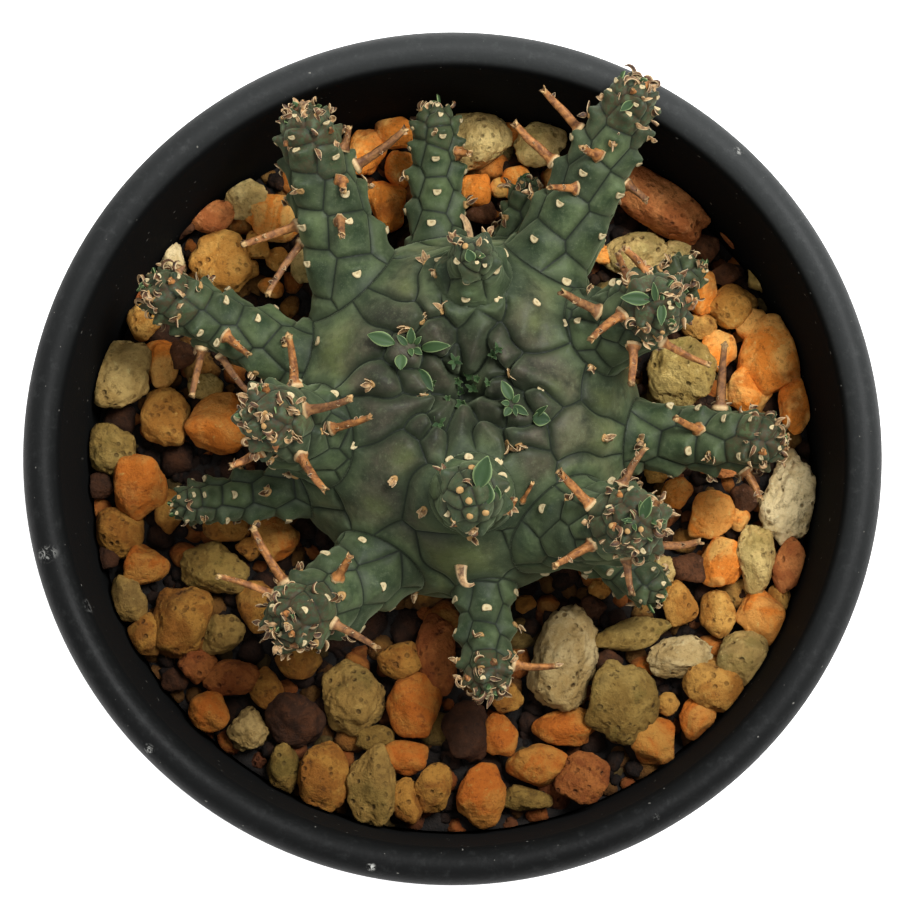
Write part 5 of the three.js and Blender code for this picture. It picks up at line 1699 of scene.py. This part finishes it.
def fill_between(tries, least, most, close, sunk):
    """Smaller stones on a spiral, where the larger ones leave room."""
    for k in range(tries):
        reach, turn = FILL_REACH * math.sqrt((k + 0.5) / tries), k * math.pi * GOLDEN_SHARE
        x, y = reach * math.cos(turn), reach * math.sin(turn)
        width = RNG.uniform(least, most)
        tone = FILL_TONES[int(RNG.integers(len(FILL_TONES)))]
        if all(math.hypot(x - a, y - b) > close * (width + w) for a, b, w in taken):
            taken.append((x, y, width))
            level = BED_LEVEL - sunk - 0.5 * RNG.random()
            breadth, turn = width * RNG.uniform(0.9, 1.2), RNG.uniform(0, 3)
            form, faces = stone_form(x, y, breadth, width, level, width * 0.8, turn, 1.0, 3)
            stone_batches[tone].add(settle(form), [faces], tone=RNG.random())


fill_between(420, 2.2, 4.2, 0.31, 1.0)
fill_between(1200, 1.4, 2.5, 0.27, 1.3)
for tone, (name, light, mid, dark, extra) in TONES.items():
    made = stone_material(name, light, mid, dark, **extra)
    mesh = stone_batches[tone].mesh("stones_" + name)
    add_piece(mesh, made, ["potting_mix"])


def soil_bed():
    """The fine mix: a column that fills the pot, bumpy on top, with a slack side."""
    turn = circle(160)
    top_level = BED_LEVEL - 1.4
    top = wall_inside(top_level) - GAP
    rings = []
    for share in np.linspace(0.02, 1, 64):
        ring = flat_ring(turn, top * share, top_level)
        if top * share < top - 0.5:
            ring[:, 2] += 1.3 * (noise(ring * 0.8, 5) - 0.5) + 0.7 * (noise(ring * 2.3, 6) - 0.5)
        rings.append(ring)
    for level in (50, 40, 30, 20, 10, BED_FLOOR):
        rings.append(flat_ring(turn, wall_inside(level) - GAP, level))
    rings.append(flat_ring(turn, 1.0, BED_FLOOR))
    return mesh_from("fine_mix", *capped(rings, (0, 0, top_level), (0, 0, BED_FLOOR)))


add_piece(soil_bed(), soil_material(), ["potting_mix"])
crumbs = Batch()
for _ in range(CRUMB_COUNT):
    reach, turn = CRUMB_REACH * math.sqrt(RNG.random()), RNG.random() * 2 * math.pi
    x, y = reach * math.cos(turn), reach * math.sin(turn)
    width = RNG.uniform(0.7, 2.0)
    breadth, level = width * RNG.uniform(0.8, 1.4), BED_LEVEL - 1.3 + RNG.random() * 0.9
    turn = RNG.uniform(0, 3)
    form, faces = stone_form(x, y, breadth, width, level, width * 0.8, turn, 1.0, 2)
    crumbs.add(settle(form), [faces], tone=RNG.random())
crumb_material = stone_material("crumb", (96, 60, 30), (50, 32, 18), (18, 12, 8), coarse=2.0)
add_piece(crumbs.mesh("mix_crumbs"), crumb_material, ["potting_mix"])

# ---- Pot -------------------------------------------------------------------------------------------

POT_SIDES, DRILL_SIDES, DRILL_LEVELS = 224, 40, (-1.0, 5.0)


def wall_outside(level):
    return wall_inside(level) + WALL


def pot_profile():
    """(radius, height) once round the wall's section, with its edges eased."""
    collar = POT_HEIGHT - COLLAR_HEIGHT
    under_lip = POT_HEIGHT - LIP_DEPTH
    foot_out = wall_outside(FOOT_EDGE)
    foot_in = foot_out - FOOT_WIDTH
    middle, half = (RIM_RADIUS + MOUTH_RADIUS) / 2, (RIM_RADIUS - MOUTH_RADIUS) / 2
    line = [
        (0.0, FOOT_RAISE), (foot_in - FOOT_EDGE - 0.3, FOOT_RAISE),
        (foot_in - FOOT_EDGE + 0.1, FOOT_RAISE - 0.15), (foot_in - 0.1, 0.12), (foot_in + 0.2, 0.0),
        (foot_out - FOOT_EDGE - 0.2, 0.0), (foot_out - FOOT_EDGE * 0.4, 0.25), (foot_out, FOOT_EDGE),
    ]
    for level in np.linspace(4, under_lip - 0.5, 16):
        line.append((wall_outside(level), level))
    line += [
        (wall_outside(under_lip) + 0.1, under_lip - 0.12), (wall_outside(under_lip) + 0.5, under_lip),
        (RIM_RADIUS - WALL - 0.4, under_lip), (RIM_RADIUS - WALL, under_lip - 0.4),
        (RIM_RADIUS - WALL - COLLAR_TAPER, collar + 0.25),
        (RIM_RADIUS - WALL - COLLAR_TAPER + 0.3, collar),
        (RIM_RADIUS - COLLAR_TAPER - 0.3, collar), (RIM_RADIUS - COLLAR_TAPER, collar + 0.3),
        (RIM_RADIUS - COLLAR_TAPER * 0.5, (collar + POT_HEIGHT - LIP_DROP) / 2),
    ]
    for turn in np.linspace(0, math.pi, 19):
        line.append((middle + half * math.cos(turn), POT_HEIGHT - LIP_DROP * (1 - math.sin(turn))))
    for level in np.linspace(POT_HEIGHT - LIP_DROP - 1.5, FOOT_RAISE + WALL + 1.0, 18):
        line.append((wall_inside(level), level))
    floor_radius = wall_inside(FOOT_RAISE + WALL)
    line += [(floor_radius - 0.7, FOOT_RAISE + WALL), (0.0, FOOT_RAISE + WALL)]
    return line


def drain_drills():
    """Rods through the base, one for each drainage hole."""
    drills = Batch()
    for hole in range(DRAIN_RING_COUNT + 1):
        way = hole * 2 * math.pi / DRAIN_RING_COUNT
        reach = 0 if hole == DRAIN_RING_COUNT else DRAIN_RING_RADIUS
        x, y = reach * math.cos(way), reach * math.sin(way)
        rings = [flat_ring(circle(DRILL_SIDES), DRAIN_RADIUS, level, x, y) for level in DRILL_LEVELS]
        drills.add(*capped(rings, *((x, y, level) for level in DRILL_LEVELS)))
    return drills.mesh("drills")


def pot_piece(material):
    (_, underside), *line, (_, inside) = pot_profile()
    rings = [flat_ring(circle(POT_SIDES), radius, level) for radius, level in line]
    whole = mesh_from("nursery_pot", *capped(rings, (0, 0, underside), (0, 0, inside)))
    piece = add_piece(whole, material, ["pot"])
    drills = drain_drills()
    cutter = link("drills", drills)
    cut = piece.modifiers.new("drains", "BOOLEAN")
    cut.operation = "DIFFERENCE"
    cut.object = cutter
    cut.solver = "EXACT"
    seen = piece.evaluated_get(bpy.context.evaluated_depsgraph_get())
    piece.data = bpy.data.meshes.new_from_object(seen)
    piece.data.name = "nursery_pot"
    piece.modifiers.clear()
    bpy.data.objects.remove(cutter)
    bpy.data.meshes.remove(drills)
    bpy.data.meshes.remove(whole)


pot_piece(plastic_material())

# ---- Floor, light and camera -------------------------------------------------------------------------

FLOOR_HALF = 900.0
corners = [(x * FLOOR_HALF, y * FLOOR_HALF, 0) for x, y in ((-1, -1), (1, -1), (1, 1), (-1, 1))]
floor = link("floor", mesh_from("floor", np.array(corners), [[[0, 1, 2, 3]]]))
paper = Paint("pale_floor")
tint = paper.blend(paper.noise(40, 2), (244, 244, 244), (250, 250, 250))
white = (1.0, 1.0, 1.0, 1.0)
values = {"Base Color": tint, "Roughness": 0.9, "Emission Color": white, "Emission Strength": 0.8}
paper.connect(paper.tree.nodes["Principled BSDF"], values)
floor.data.materials.append(paper.material)

scene = bpy.context.scene
scene.view_settings.view_transform = "Standard"
world = bpy.data.worlds.new("studio")
scene.world = world
world.use_nodes = True
sky = Nodes(world.node_tree, "Generated")
glow = sky.ramp(sky.part("Z"), 0.0, 0.9, 0.66, 0.5, smooth=False)
glow = sky.times(glow, sky.ramp(sky.part("Y"), -0.8, 0.8, 0.72, 1.28))
sky.connect(world.node_tree.nodes["Background"], {"Strength": glow, "Color": white})


def add_light(name, place, aim, size, energy):
    light = bpy.data.lights.new(name, "AREA")
    light.shape = "DISK"
    light.size = size
    light.energy = energy
    holder = link(name, light)
    holder.location = place
    direction = Vector(np.subtract(aim, place))
    holder.rotation_euler = direction.to_track_quat("-Z", "Y").to_euler()


add_light("key", (0.36, 0.26, 0.93), (0, 0, 0.06), 0.36, 10.8)
add_light("fill", (-0.3, -0.45, 0.9), (0, 0, 0.06), 0.7, 1.4)

camera_data = bpy.data.cameras.new("camera")
camera_data.sensor_width = SENSOR
camera_data.lens = SENSOR * CAMERA_REACH / FRAME_WIDTH
camera_data.clip_start = 0.01
camera = link("camera", camera_data)
camera.location = (CAMERA_TARGET + CAMERA_REACH * CAMERA_BACK) * MM
camera.rotation_euler = (CAMERA_TILT, 0, 0)
scene.camera = camera
